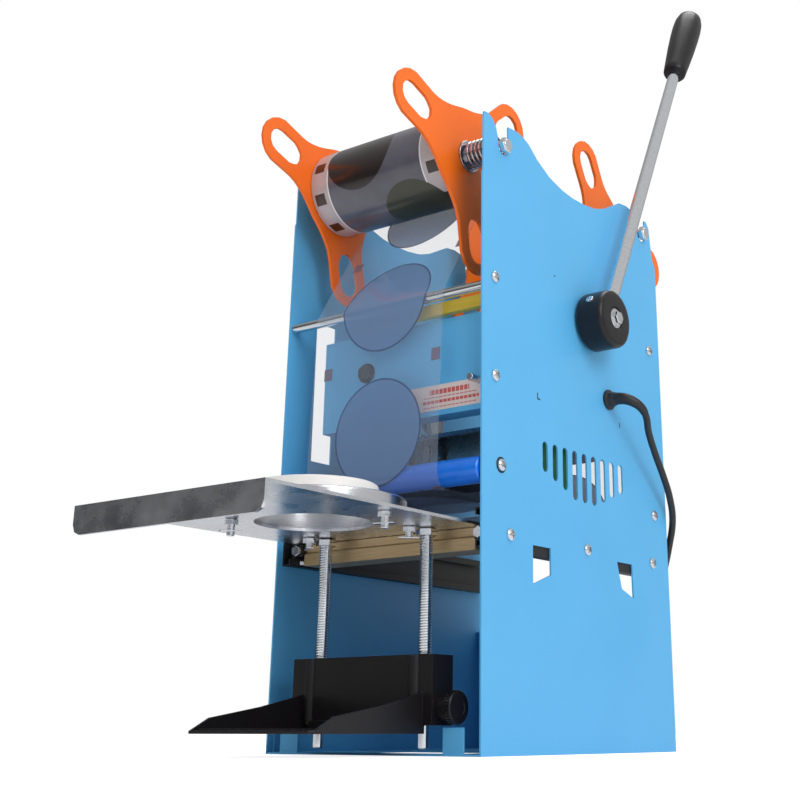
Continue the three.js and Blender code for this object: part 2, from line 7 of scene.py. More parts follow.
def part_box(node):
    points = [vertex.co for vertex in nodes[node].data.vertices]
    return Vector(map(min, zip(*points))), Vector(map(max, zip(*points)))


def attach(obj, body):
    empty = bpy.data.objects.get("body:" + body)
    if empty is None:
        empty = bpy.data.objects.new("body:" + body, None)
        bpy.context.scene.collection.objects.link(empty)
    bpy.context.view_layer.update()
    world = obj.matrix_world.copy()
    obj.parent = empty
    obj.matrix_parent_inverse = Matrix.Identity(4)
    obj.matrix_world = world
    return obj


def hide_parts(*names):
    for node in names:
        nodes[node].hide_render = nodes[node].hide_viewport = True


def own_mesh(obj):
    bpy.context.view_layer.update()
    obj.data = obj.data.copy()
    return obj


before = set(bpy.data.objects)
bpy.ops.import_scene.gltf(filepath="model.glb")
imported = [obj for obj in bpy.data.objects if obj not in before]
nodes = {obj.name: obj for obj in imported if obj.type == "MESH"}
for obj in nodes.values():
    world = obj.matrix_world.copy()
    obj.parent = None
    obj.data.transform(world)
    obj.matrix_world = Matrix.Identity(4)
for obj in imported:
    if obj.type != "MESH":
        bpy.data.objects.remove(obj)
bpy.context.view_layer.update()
for shown in bpy.context.selected_objects:
    shown.select_set(False)


# ---- The viewpoint ----
# The machine stands on a table edge and is seen from its front right, from just above the table, with a
# normal lens tilted up to take in the lever.

camera = bpy.data.objects.new("camera", bpy.data.cameras.new("camera"))
bpy.context.scene.collection.objects.link(camera)
camera.location = (0.7088, -0.9745, 0.0180)
camera.rotation_euler = (math.radians(109.69), 0, math.radians(35.54))
camera.data.lens = 57.9
camera.data.shift_x = -0.1162
camera.data.shift_y = -0.1617
bpy.context.scene.camera = camera


# ---- Table and light ----
# A plain white table that runs out of sight, under large soft lamps in a white room.

def stage_material(name, code):
    material = bpy.data.materials.new(name)
    material.use_nodes = True
    material.node_tree.nodes["Principled BSDF"].inputs["Base Color"].default_value = (code, code, code, 1)
    material.node_tree.nodes["Principled BSDF"].inputs["Roughness"].default_value = 0.9
    material.node_tree.nodes["Principled BSDF"].inputs["Emission Color"].default_value = (1, 1, 1, 1)
    ray = material.node_tree.nodes.new("ShaderNodeLightPath")
    lit = material.node_tree.nodes.new("ShaderNodeMapRange")
    lit.inputs["To Min"].default_value = 0.06
    lit.inputs["To Max"].default_value = 0.85
    material.node_tree.links.new(ray.outputs["Is Camera Ray"], lit.inputs["Value"])
    material.node_tree.links.new(lit.outputs["Result"],
                                 material.node_tree.nodes["Principled BSDF"].inputs["Emission Strength"])
    return material


bpy.ops.mesh.primitive_plane_add(size=14, location=(0, 0, -0.0003))
table = bpy.context.object
table.name = "table"
table.data.materials.append(stage_material("white_table", 0.92))

room = bpy.data.worlds.new("white_room")
bpy.context.scene.world = room
room.use_nodes = True
tree = room.node_tree
sky = tree.nodes["Background"]
place = tree.nodes.new("ShaderNodeTexCoord")
facing = tree.nodes.new("ShaderNodeVectorMath")
facing.operation = "DOT_PRODUCT"
facing.inputs[1].default_value = (0.52, 0.12, 0.84)
rise = tree.nodes.new("ShaderNodeMapRange")
seen = tree.nodes.new("ShaderNodeLightPath")
pick_sky = tree.nodes.new("ShaderNodeMix")
tree.links.new(place.outputs["Generated"], facing.inputs[0])
tree.links.new(facing.outputs["Value"], rise.inputs["Value"])
rise.inputs["From Min"].default_value = -0.35
rise.inputs["From Max"].default_value = 0.75
rise.inputs["To Min"].default_value = 0.05
rise.inputs["To Max"].default_value = 0.62
tree.links.new(seen.outputs["Is Camera Ray"], pick_sky.inputs[0])
tree.links.new(rise.outputs["Result"], pick_sky.inputs[2])
pick_sky.inputs[3].default_value = 1.0
tree.links.new(pick_sky.outputs[0], sky.inputs["Strength"])
sky.inputs["Color"].default_value = (1, 1, 1, 1)

for name, place, aim, size, power in (("side", (2.2, -0.9, 1.5), (0.1, 0, 0.3), 1.6, 27),
                                      ("front", (-0.5, -2.4, 1.5), (0, -0.2, 0.3), 0.8, 6),
                                      ("top", (0.2, 0.5, 2.3), (0, 0, 0.4), 1.2, 15)):
    lamp = bpy.data.objects.new(name, bpy.data.lights.new(name, "AREA"))
    bpy.context.scene.collection.objects.link(lamp)
    lamp.data.shape = "DISK"
    lamp.data.size = size
    lamp.data.energy = power
    lamp.location = place
    lamp.rotation_euler = (Vector(aim) - Vector(place)).to_track_quat("-Z", "Y").to_euler()
bpy.context.scene.view_settings.view_transform = "Standard"


# ---- The mains lead ----
# A black round flexible lead with a PVC sheath, 1.4 m long. It comes out of the right side through a
# moulded relief, drops behind the machine and is wound into a coil for storage, with its plug beside it.

def linear(code):
    """The linear colour of an sRGB hex code."""
    parts = [int(code[i:i + 2], 16) / 255 for i in (1, 3, 5)]
    return tuple(c / 12.92 if c < 0.04045 else ((c + 0.055) / 1.055) ** 2.4 for c in parts) + (1,)


def add_node(material, kind, inputs=None, **settings):
    """Adds a shader node, sets it up, and links or fills its inputs."""
    made = material.node_tree.nodes.new(kind)
    for key, value in settings.items():
        setattr(made, key, value)
    for key, value in (inputs or {}).items():
        if isinstance(value, bpy.types.NodeSocket):
            material.node_tree.links.new(value, made.inputs[key])
        else:
            made.inputs[key].default_value = value
    return made


def new_material(name):
    """An empty material and its Principled shader."""
    material = bpy.data.materials.new(name)
    material.use_nodes = True
    return material, material.node_tree.nodes["Principled BSDF"]


def give(piece, material, body, slot, *replaced):
    """The piece takes its finish, rides on its body and stands for its CAD nodes."""
    piece.data.materials.clear()
    piece.data.materials.append(material)
    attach(piece, body)
    if replaced:
        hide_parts(*replaced)
    return piece


# Soft PVC, extruded: nearly black, a dull sheen, faint marks across it where it was wound.
soft_pvc, shader = new_material("soft_pvc_black")
spots = add_node(soft_pvc, "ShaderNodeTexCoord")
marks = add_node(soft_pvc, "ShaderNodeTexNoise", {"Vector": spots.outputs["Object"], "Scale": 240.0, "Detail": 3.0})
shade = add_node(soft_pvc, "ShaderNodeMix", {0: marks.outputs["Fac"], 6: linear("#141416"), 7: linear("#26262A")},
                 data_type="RGBA")
dull = add_node(soft_pvc, "ShaderNodeMapRange", {"Value": marks.outputs["Fac"], "To Min": 0.36, "To Max": 0.52})
rise = add_node(soft_pvc, "ShaderNodeBump", {"Height": marks.outputs["Fac"], "Strength": 0.12, "Distance": 0.0003})
for socket, value in (("Base Color", shade.outputs[2]), ("Roughness", dull.outputs["Result"]),
                      ("Normal", rise.outputs["Normal"])):
    soft_pvc.node_tree.links.new(value, shader.inputs[socket])

LEAD = 6.6
drop = [(119.6, 48.4, 311), (120.2, 48.4, 311), (128.7, 49.9, 309.9), (135.5, 54.1, 306.7), (139.5, 60.3, 302.1),
        (140.1, 65.8, 298), (134, 83, 283), (130, 101, 267), (126.5, 122, 249), (122.5, 141, 231),
        (116, 157, 211), (105, 168, 188), (92.5, 175, 158), (83, 179, 122), (75, 181.5, 88), (66, 182, 56),
        (55, 182, 29), (41, 181, 11), (26, 179.6, 3.9), (9, 177.6, 3.4)]
coil_middle = Vector((-24, 219, 0))
inward_turns = 2.1
outward_turns = 1.9
turns = []
for step in range(65):
    along = step / 64 * (inward_turns + outward_turns)
    angle = math.radians(-90 - 360 * along)
    reach = 43.2 - 6.9 * min(along, inward_turns) + 6.9 * max(0.0, along - inward_turns)
    climb = min(1.0, max(0.0, (along - inward_turns + 0.22) / 0.44))
    height = 3.4 + 6.8 * climb * climb * (3 - 2 * climb)
    turns.append((coil_middle.x + reach * math.cos(angle), coil_middle.y + reach * math.sin(angle), height))
tail = [(-36, 177.6, 10.1), (-48, 178.8, 10), (-60, 179.8, 10), (-71.5, 180, 10)]
line = bpy.data.curves.new("mains_lead", "CURVE")
line.dimensions = "3D"
line.bevel_depth = LEAD / 2000
line.bevel_resolution = 5
line.resolution_u = 8
line.use_fill_caps = True
spline = line.splines.new("BEZIER")
route = drop + turns + tail
spline.bezier_points.add(len(route) - 1)
for point, place in zip(spline.bezier_points, route):
    point.co = Vector(place) / 1000
    point.handle_left_type = "AUTO"
    point.handle_right_type = "AUTO"
lead = bpy.data.objects.new("mains_lead", line)
bpy.context.scene.collection.objects.link(lead)
give(lead, soft_pvc, "frame", "cord_rubber", "power_cord", "cord_coil")


# The plug is one moulding over two round pins: a flat body with a waist for the fingers and a ribbed neck
# where the lead goes in. The pins are nickel-plated brass.

def alone():
    """Leaves edit mode with nothing selected."""
    if bpy.context.object and bpy.context.object.mode != "OBJECT":
        bpy.ops.object.mode_set(mode="OBJECT")
    bpy.ops.object.select_all(action="DESELECT")


def pick(piece):
    alone()
    piece.select_set(True)
    bpy.context.view_layer.objects.active = piece


def finished(piece, name, bevel=0.0, segments=2, smooth=35):
    """Puts the piece's place into its mesh, rounds its sharp edges by so many mm, and shades it."""
    pick(piece)
    piece.name = name
    piece.data.name = name
    bpy.ops.object.transform_apply(location=True, rotation=True, scale=True)
    if bevel:
        rounding = piece.modifiers.new("rounding", "BEVEL")
        rounding.width = bevel / 1000
        rounding.segments = segments
        rounding.limit_method = "ANGLE"
        rounding.angle_limit = math.radians(smooth)
        bpy.ops.object.modifier_apply(modifier="rounding")
    bpy.ops.object.shade_smooth_by_angle(angle=math.radians(smooth))
    if bevel:
        flat = piece.modifiers.new("flat_faces", "WEIGHTED_NORMAL")
        flat.keep_sharp = True
        bpy.ops.object.modifier_apply(modifier="flat_faces")
    return piece


def turned(steps, sides=48, bore=0.0):
    """A piece turned about Z, from its foot up: steps are radius and height in mm. A bore goes right through."""
    alone()
    radius, height = steps[0]
    fill = "NOTHING" if bore else "NGON"
    bpy.ops.mesh.primitive_circle_add(vertices=sides, radius=radius / 1000, fill_type=fill,
                                      location=(0, 0, height / 1000))
    piece = bpy.context.object
    bpy.ops.object.transform_apply(location=True, rotation=False, scale=False)
    bpy.ops.object.mode_set(mode="EDIT")
    bpy.ops.mesh.select_all(action="SELECT")
    rounds = list(steps[1:])
    if bore:
        rounds += [(bore, steps[-1][1]), (bore, steps[0][1]), steps[0]]
    for wider, higher in rounds:
        bpy.ops.mesh.extrude_region_move(TRANSFORM_OT_translate={"value": (0, 0, (higher - height) / 1000)})
        bpy.ops.transform.resize(value=(wider / radius, wider / radius, 1), center_override=(0, 0, higher / 1000))
        radius, height = wider, higher
    bpy.ops.mesh.select_all(action="SELECT")
    bpy.ops.mesh.remove_doubles(threshold=1e-6)
    bpy.ops.mesh.normals_make_consistent(inside=False)
    bpy.ops.object.mode_set(mode="OBJECT")
    return piece


def set_at(piece, place=(0, 0, 0), turn=(0, 0, 0)):
    """Stands a piece in its place, in mm and degrees."""
    piece.location = Vector(place) / 1000
    piece.rotation_euler = [math.radians(t) for t in turn]
    pick(piece)
    bpy.ops.object.transform_apply(location=True, rotation=True, scale=True)
    return piece


def block(low, high):
    """A block between two corners, in mm."""
    alone()
    bpy.ops.mesh.primitive_cube_add(size=1, location=[(a + b) / 2000 for a, b in zip(low, high)])
    piece = bpy.context.object
    piece.scale = [(b - a) / 1000 for a, b in zip(low, high)]
    bpy.ops.object.transform_apply(location=True, rotation=True, scale=True)
    return piece


def joined(pieces, name):
    pick(pieces[0])
    for piece in pieces[1:]:
        piece.select_set(True)
    if len(pieces) > 1:
        bpy.ops.object.join()
    pieces[0].name = name
    pieces[0].data.name = name
    return pieces[0]


plug_body = block((-103, 167, 1.2), (-78, 193, 18.8))
bpy.ops.object.mode_set(mode="EDIT")
bpy.ops.mesh.select_all(action="DESELECT")
mesh = bmesh.from_edit_mesh(plug_body.data)
for face in mesh.faces:
    face.select = face.normal.x > 0.9
bmesh.update_edit_mesh(plug_body.data)
bpy.ops.transform.resize(value=(1, 0.62, 0.7), center_override=(-0.078, 0.180, 0.010))
bpy.ops.mesh.select_all(action="SELECT")
bpy.ops.mesh.subdivide(number_cuts=2, smoothness=0)
bpy.ops.object.mode_set(mode="OBJECT")
finished(plug_body, "plug_body", bevel=3.2, segments=4)
neck = set_at(turned([(5.6, 0), (5.6, 1.4), (4.6, 1.8), (4.6, 2.6), (5.4, 3), (5.4, 4.2), (4.4, 4.6), (4.4, 5.4),
                      (4.9, 5.8), (4.9, 7.2), (4.0, 7.6)], sides=32), (-78.5, 180, 10), (0, 90, 0))
finished(neck, "plug_neck", bevel=0.2)
plug_shell = joined([plug_body, neck], "mains_plug_shell")
pins = []
for y in (172.5, 187.5):
    pins.append(set_at(turned([(1.2, 0), (2.2, 1.2), (2.4, 2), (2.4, 17.6)], sides=24), (-120.6, y, 10), (0, 90, 0)))
plug_pins = finished(joined(pins, "plug_pins"), "plug_pins", bevel=0.15)
# Moulded PVC, satin, in one piece with the lead.
give(plug_shell, soft_pvc, "frame", "cord_rubber", "mains_plug")

# Nickel-plated brass: pale and bright, with hair scratches along the pins.
nickel, shader = new_material("nickel_plated_brass")
shader.inputs["Metallic"].default_value = 1.0
shader.inputs["Base Color"].default_value = linear("#D9D6CC")
spots = add_node(nickel, "ShaderNodeTexCoord")
scratch = add_node(nickel, "ShaderNodeTexNoise", {"Vector": spots.outputs["Object"], "Scale": 900.0})
dull = add_node(nickel, "ShaderNodeMapRange", {"Value": scratch.outputs["Fac"], "To Min": 0.14, "To Max": 0.30})
nickel.node_tree.links.new(dull.outputs["Result"], shader.inputs["Roughness"])
give(plug_pins, nickel, "frame", "chrome_bar")

# A strap of hook tape holds the turns together on the side away from the plug.
strap = turned([(10.2, -7), (10.2, 7)], sides=36, bore=9.4)
strap.scale = (1.22, 0.78, 1)
strap = set_at(strap, (12.2, 222, 7.6), (90, 0, 4))
finished(strap, "coil_strap", bevel=0.2)
strap_nylon, shader = new_material("hook_tape_nylon")
shader.inputs["Roughness"].default_value = 0.85
spots = add_node(strap_nylon, "ShaderNodeTexCoord")
weave = add_node(strap_nylon, "ShaderNodeTexVoronoi", {"Vector": spots.outputs["Object"], "Scale": 900.0})
shade = add_node(strap_nylon, "ShaderNodeMix", {0: weave.outputs["Distance"], 6: linear("#222328"),
                                                7: linear("#0D0D10")},
                 data_type="RGBA")
rise = add_node(strap_nylon, "ShaderNodeBump", {"Height": weave.outputs["Distance"], "Strength": 0.5,
                                                "Distance": 0.0005})
strap_nylon.node_tree.links.new(shade.outputs[2], shader.inputs["Base Color"])
strap_nylon.node_tree.links.new(rise.outputs["Normal"], shader.inputs["Normal"])
give(strap, strap_nylon, "frame", "cord_rubber")

# The relief is a moulded collar clipped into the side panel, with a ribbed sleeve that thins along the lead
# and bends with it.
collar = turned([(4.9, -4.5), (4.9, -0.2), (9.5, 0), (9.7, 1.4), (9.2, 2.6), (7.6, 3.2), (7.2, 5.4), (6.2, 8.2),
                 (5.4, 8.6)], sides=40)
collar = finished(set_at(collar, (111.3, 48.4, 311), (0, 90, 0)), "relief_collar", bevel=0.25)
sleeve_line = bpy.data.curves.new("relief_sleeve", "CURVE")
sleeve_line.dimensions = "3D"
sleeve_line.bevel_depth = 0.001
sleeve_line.bevel_resolution = 6
sleeve_line.resolution_u = 6
sleeve_line.use_fill_caps = True
sleeve_spline = sleeve_line.splines.new("BEZIER")
sleeve_spline.bezier_points.add(5)
for point, place, thick in zip(sleeve_spline.bezier_points, drop[:6], (6.0, 5.9, 5.4, 4.8, 4.2, 3.7)):
    point.co = Vector(place) / 1000
    point.handle_left_type = "AUTO"
    point.handle_right_type = "AUTO"
    point.radius = thick
sleeve = bpy.data.objects.new("relief_sleeve", sleeve_line)
bpy.context.scene.collection.objects.link(sleeve)
pick(sleeve)
bpy.ops.object.convert(target="MESH")
relief = joined([collar, bpy.context.object], "relief")
give(relief, soft_pvc, "frame", "cord_rubber", "strain_relief")


# ---- The side panels ----
# Two blanks cut from 1.5 mm mild steel sheet, notched for the reel shafts and pierced for air, then powder
# coated sky blue. Everything else is screwed between them.

def dressed(node, name, bevel=0.3, smooth=32, segments=2):
    """A welded copy of a CAD node, its flat faces made whole and its edges rounded by so many mm."""
    alone()
    piece = bpy.data.objects.new(name, nodes[node].data.copy())
    bpy.context.scene.collection.objects.link(piece)
    pick(piece)
    bpy.ops.object.mode_set(mode="EDIT")
    bpy.ops.mesh.select_all(action="SELECT")
    bpy.ops.mesh.remove_doubles(threshold=2e-5)
    bpy.ops.mesh.dissolve_limited(angle_limit=math.radians(1.0))
    bpy.ops.object.mode_set(mode="OBJECT")
    for layer in list(piece.data.uv_layers):
        piece.data.uv_layers.remove(layer)
    if piece.data.has_custom_normals:
        bpy.ops.mesh.customdata_custom_splitnormals_clear()
    return finished(piece, name, bevel=bevel, smooth=smooth, segments=segments)


def powder_coat(name, light, deep, rough=0.40):
    """Baked polyester powder: an even satin coat with a fine orange peel and a broad, random change of tone."""
    material, shader = new_material(name)
    spots = add_node(material, "ShaderNodeTexCoord")
    broad = add_node(material, "ShaderNodeTexNoise", {"Vector": spots.outputs["Object"], "Scale": 9.0, "Detail": 2.0})
    shade = add_node(material, "ShaderNodeMix", {0: broad.outputs["Fac"], 6: linear(deep), 7: linear(light)},
                     data_type="RGBA")
    # The peel's real cells are about 1 mm across.
    peel = add_node(material, "ShaderNodeTexNoise", {"Vector": spots.outputs["Object"], "Scale": 1000.0, "Detail": 1.0})
    rise = add_node(material, "ShaderNodeBump", {"Height": peel.outputs["Fac"], "Strength": 0.10, "Distance": 0.0002})
    dull = add_node(material, "ShaderNodeMapRange",
                    {"Value": peel.outputs["Fac"], "To Min": rough - 0.05, "To Max": rough + 0.07})
    links = material.node_tree.links
    links.new(shade.outputs[2], shader.inputs["Base Color"])
    links.new(dull.outputs["Result"], shader.inputs["Roughness"])
    links.new(rise.outputs["Normal"], shader.inputs["Normal"])
    return material


blue_coat = powder_coat("powder_coated_steel_sky_blue", "#62BAEE", "#56B0E6")
for side in ("right", "left"):
    panel = dressed(f"{side}_panel", f"{side}_side_panel", bevel=0.35)
    give(panel, blue_coat, "frame", "blue_sheet", f"{side}_panel")


# Pan-head machine screws with cross recesses, zinc plated, hold the inside parts to the panels.

def cross_screw(radius=5.2):
    """A pan-head screw standing on Z, with its cross cut by two crossed blades."""
    head = turned([(radius, 0), (radius, radius * 0.16), (radius * 0.93, radius * 0.34), (radius * 0.72, radius * 0.52),
                   (radius * 0.4, radius * 0.63), (radius * 0.05, radius * 0.66)], sides=28)
    blades = []
    for across, along in ((0.13, 0.62), (0.62, 0.13)):
        blades.append(block((-radius * across, -radius * along, radius * 0.3), (radius * across, radius * along,
                                                                                radius)))
    for blade in blades:
        cutter = head.modifiers.new("recess", "BOOLEAN")
        cutter.object = blade
        cutter.operation = "DIFFERENCE"
        cutter.solver = "EXACT"
        pick(head)
        bpy.ops.object.modifier_apply(modifier="recess")
        bpy.data.objects.remove(blade)
    return finished(head, "screw", smooth=28)


def copies(piece, places):
    """The piece copied to each (place in mm, turn in degrees, spin in degrees)."""
    made = []
    for place, turn, spin in places:
        copy = bpy.data.objects.new(piece.name, piece.data.copy())
        bpy.context.scene.collection.objects.link(copy)
        copy.data.transform(Matrix.Rotation(math.radians(spin), 4, "Z"))
        made.append(set_at(copy, place, turn))
    bpy.data.objects.remove(piece)
    return made


zinc, shader = new_material("zinc_plated_steel")
shader.inputs["Metallic"].default_value = 1.0
spots = add_node(zinc, "ShaderNodeTexCoord")
cloud = add_node(zinc, "ShaderNodeTexNoise", {"Vector": spots.outputs["Object"], "Scale": 260.0, "Detail": 3.0})
shade = add_node(zinc, "ShaderNodeMix", {0: cloud.outputs["Fac"], 6: linear("#CFD1D5"), 7: linear("#E0E2E6")},
                 data_type="RGBA")
dull = add_node(zinc, "ShaderNodeMapRange", {"Value": cloud.outputs["Fac"], "To Min": 0.16, "To Max": 0.26})
zinc.node_tree.links.new(shade.outputs[2], shader.inputs["Base Color"])
zinc.node_tree.links.new(dull.outputs["Result"], shader.inputs["Roughness"])

screw_places = [(-135.3, 381, 20), (-134.8, 295, 70), (-126.4, 221.6, 35), (-114.1, 167, 10), (4, 167.4, 55),
                (121, 167.3, 80), (128, 213, 25), (131, 378.4, 40)]
for side, sign in (("right", 1), ("left", -1)):
    turn = (0, 90 * sign, 0)
    places = [((sign * 111, y, z), turn, spin) for y, z, spin in screw_places]
    screws = joined(copies(cross_screw(), places), f"{side}_panel_screws")
    give(screws, zinc, "frame", "machined_steel")

# Black washer under the screw that carries the lower frame. The small slots left by the blanking tool are not cut: thin
# dark patches laid on the panel stand in for them as painted shade.
dark_steel = powder_coat("blackened_steel", "#1C1D20", "#131417", rough=0.45)
washers = []
for sign in (1, -1):
    ring = turned([(6.6, 0), (6.6, 0.5)], sides=36, bore=4.0)
    washers.append(set_at(ring, (sign * 111, -126.4, 221.6), (0, 90 * sign, 0)))
give(finished(joined(washers, "panel_washers"), "panel_washers", bevel=0.1), dark_steel, "frame", "black_steel")

marks = []
for y, z, along, up in ((-41, 409, 2.4, 1.2), (-71.4, 290.4, 1.2, 6), (-69.4, 288, 4, 1.2), (68.4, 290.4, 1.2, 5),
                        (85, 453.7, 3, 1.2)):
    marks.append(block((111.0, y - along / 2, z - up / 2), (111.08, y + along / 2, z + up / 2)))
give(joined(marks, "panel_slot_shade"), dark_steel, "frame", "black_steel")


# ---- Floor sheet, back panel and cover ----
# More folded 1.5 mm sheet in the same coat. The cover closes the front between the film's guide rod and the
# heated head, held by a hexagon bolt, with a printed vinyl strip along its foot.

for node, name in (("base_plate", "floor_sheet"), ("lower_back_panel", "back_panel"), ("front_cover", "film_cover")):
    give(dressed(node, name, bevel=0.35), blue_coat, "frame", "blue_sheet", node)


def hexagon(radius, height, hole=0.0):
    """A hexagon head or nut standing on Z, chamfered at its top."""
    steps = [(radius, 0), (radius, height * 0.86), (radius * 0.9, height)]
    return finished(turned(steps, sides=6, bore=hole), "hexagon", bevel=0.25, smooth=20)


cover_bolt = joined([set_at(hexagon(7.2, 4.6), (-25.5, -139.9, 317), (90, 0, 0)),
                     set_at(turned([(9, 0), (9, 0.9)], sides=40), (-25.5, -139, 317), (90, 0, 0))], "cover_bolt")
give(cover_bolt, dark_steel, "frame", "machined_steel")
pin = turned([(3.4, 0), (3.4, 14), (2.8, 15)], sides=28)
give(finished(set_at(pin, (98.8, -139, 292), (90, 0, 0)), "cover_pin", bevel=0.2), zinc, "frame", "machined_steel")

strip = block((25, -139.35, 272.5), (108.4, -139.02, 294.5))
finished(strip, "cover_strip", bevel=0.1)
vinyl, shader = new_material("printed_vinyl")
shader.inputs["Roughness"].default_value = 0.35
spots = add_node(vinyl, "ShaderNodeTexCoord")
parts = add_node(vinyl, "ShaderNodeSeparateXYZ", {"Vector": spots.outputs["Object"]})


def between(material, value, low, high):
    """One where the value lies between two numbers, else nought."""
    above = add_node(material, "ShaderNodeMath", {0: value, 1: low}, operation="GREATER_THAN")
    below = add_node(material, "ShaderNodeMath", {0: value, 1: high}, operation="LESS_THAN")
    both = add_node(material, "ShaderNodeMath", {0: above.outputs[0], 1: below.outputs[0]}, operation="MULTIPLY")
    return both.outputs[0]


def combine(material, operation, first, second):
    made = add_node(material, "ShaderNodeMath", {0: first, 1: second}, operation=operation)
    return made.outputs[0]


bars = None
for low, high, start, end in ((286.2, 290.4, 46, 88), (283.4, 284.2, 40, 96), (278.6, 281.2, 38, 98),
                              (275.0, 275.8, 40, 96)):
    row = combine(vinyl, "MULTIPLY", between(vinyl, parts.outputs["Z"], low / 1000, high / 1000),
                  between(vinyl, parts.outputs["X"], start / 1000, end / 1000))
    bars = row if bars is None else combine(vinyl, "MAXIMUM", bars, row)
dashes = combine(vinyl, "FRACT", combine(vinyl, "MULTIPLY", parts.outputs["X"], 230.0), 0.0)
gaps = add_node(vinyl, "ShaderNodeMath", {0: dashes, 1: 0.82}, operation="LESS_THAN")
ink = combine(vinyl, "MULTIPLY", bars, gaps.outputs[0])
shade = add_node(vinyl, "ShaderNodeMix", {0: ink, 6: linear("#E4D6D2"), 7: linear("#D0605C")}, data_type="RGBA")
vinyl.node_tree.links.new(shade.outputs[2], shader.inputs["Base Color"])
give(strip, vinyl, "frame", "blue_sheet")


# ---- Rails, lower frame and head guides ----
# Cold-rolled steel, blackened: two C rails screwed to the panels, and a pressed frame round the heated head.
# The frame carries two hard-chromed posts, tied at the top by a steel plate.

for node, name in (("rail_left", "left_rail"), ("rail_right", "right_rail"), ("lower_frame", "head_frame")):
    give(dressed(node, name, bevel=0.3), dark_steel, "frame", "black_steel", node)

hole_rims = []
for x, y in ((-98, -98), (98, -98), (-98, 90), (98, 90), (-40, -98), (40, -98)):
    hole_rims.append(set_at(hexagon(4.6, 3.2), (x, y, 210), (0, 0, 12)))
give(joined(hole_rims, "head_frame_bolts"), zinc, "frame", "machined_steel")


def bright_metal(name, pale, dark, rough, streak=(1, 1, 1), grain=300.0):
    """A polished or brushed metal: its grain runs the way that the streak is shortest."""
    material, shader = new_material(name)
    shader.inputs["Metallic"].default_value = 1.0
    spots = add_node(material, "ShaderNodeTexCoord")
    turn = add_node(material, "ShaderNodeMapping", {"Vector": spots.outputs["Object"], "Scale": streak})
    lines = add_node(material, "ShaderNodeTexNoise", {"Vector": turn.outputs["Vector"], "Scale": grain, "Detail": 3.0})
    shade = add_node(material, "ShaderNodeMix", {0: lines.outputs["Fac"], 6: linear(dark), 7: linear(pale)},
                     data_type="RGBA")
    dull = add_node(material, "ShaderNodeMapRange",
                    {"Value": lines.outputs["Fac"], "To Min": rough * 0.7, "To Max": rough * 1.35})
    rise = add_node(material, "ShaderNodeBump", {"Height": lines.outputs["Fac"], "Strength": 0.06, "Distance": 0.0002})
    links = material.node_tree.links
    links.new(shade.outputs[2], shader.inputs["Base Color"])
    links.new(dull.outputs["Result"], shader.inputs["Roughness"])
    links.new(rise.outputs["Normal"], shader.inputs["Normal"])
    return material


# Hard chrome on steel: mirror bright, with the faint rings of the polishing wheel.
chrome = bright_metal("chromed_steel_bar", "#E9EBEE", "#CDD1D6", 0.07, (0.2, 1, 1), 500.0)
# Machined mild steel, oiled: grey and satin with fine tool lines.
machined = bright_metal("machined_mild_steel", "#B4B6BA", "#8E9095", 0.28, (1, 1, 0.15), 700.0)

for side, x in (("left", -85), ("right", 85)):
    post = turned([(5.4, 210.3), (6, 211), (6, 341), (5.3, 342)], sides=40)
    give(finished(set_at(post, (x, -4, 0)), f"{side}_post", bevel=0.2), chrome, "frame", "chrome_bar",
         f"guide_post_{side}")
give(dressed("top_plate", "post_plate", bevel=0.3), machined, "frame", "machined_steel", "top_plate")
caps = []
for x in (-85, 85):
    caps.append(set_at(hexagon(8.4, 5.6, hole=5.0), (x, -4, 338.2)))
give(joined(caps, "post_nuts"), zinc, "frame", "machined_steel")


# Spring steel wire, wound and zinc plated: the springs lift the head again when the lever is let go.

def coil_spring(radius, wire, height, rounds, sides=8):
    """A helical spring standing on Z with its ends closed."""
    alone()
    bpy.ops.mesh.primitive_circle_add(vertices=sides, radius=wire / 1000, location=(radius / 1000, 0, 0),
                                      rotation=(math.radians(90), 0, 0))
    piece = bpy.context.object
    bpy.ops.object.transform_apply(location=True, rotation=True, scale=True)
    winding = piece.modifiers.new("winding", "SCREW")
    winding.steps = 22
    winding.render_steps = 22
    winding.iterations = rounds
    winding.screw_offset = (height - 2 * wire) / rounds / 1000
    bpy.ops.object.modifier_apply(modifier="winding")
    bpy.ops.object.mode_set(mode="EDIT")
    bpy.ops.mesh.select_all(action="SELECT")
    bpy.ops.mesh.fill_holes(sides=0)
    bpy.ops.mesh.normals_make_consistent(inside=False)
    bpy.ops.object.mode_set(mode="OBJECT")
    piece.data.transform(Matrix.Translation((0, 0, wire / 1000)))
    return piece


spring_wire = bright_metal("spring_steel_wire", "#C9CBD0", "#A3A6AC", 0.18, (1, 1, 1), 600.0)
for side, x in (("left", -85), ("right", 85)):
    spring = finished(set_at(coil_spring(8.0, 0.8, 51, 9), (x, -4, 210.6)), f"{side}_return_spring", smooth=60)
    give(spring, spring_wire, "frame", "chrome_bar", f"return_spring_{side}")
    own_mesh(spring)


# ---- Film guides ----
# Ground bars that the film runs over: a chromed rod in front of the cover with a gold anodised flat bar
# behind it, a blue urethane-sleeved roller at the foot, and a chromed rod at the back.

def bar_along_x(start, end, y, z, radius, sides=40, chamfer=0.5):
    steps = [(radius - chamfer, 0), (radius, chamfer), (radius, end - start - chamfer), (radius - chamfer, end - start)]
    return set_at(turned(steps, sides=sides), (start, y, z), (0, 90, 0))


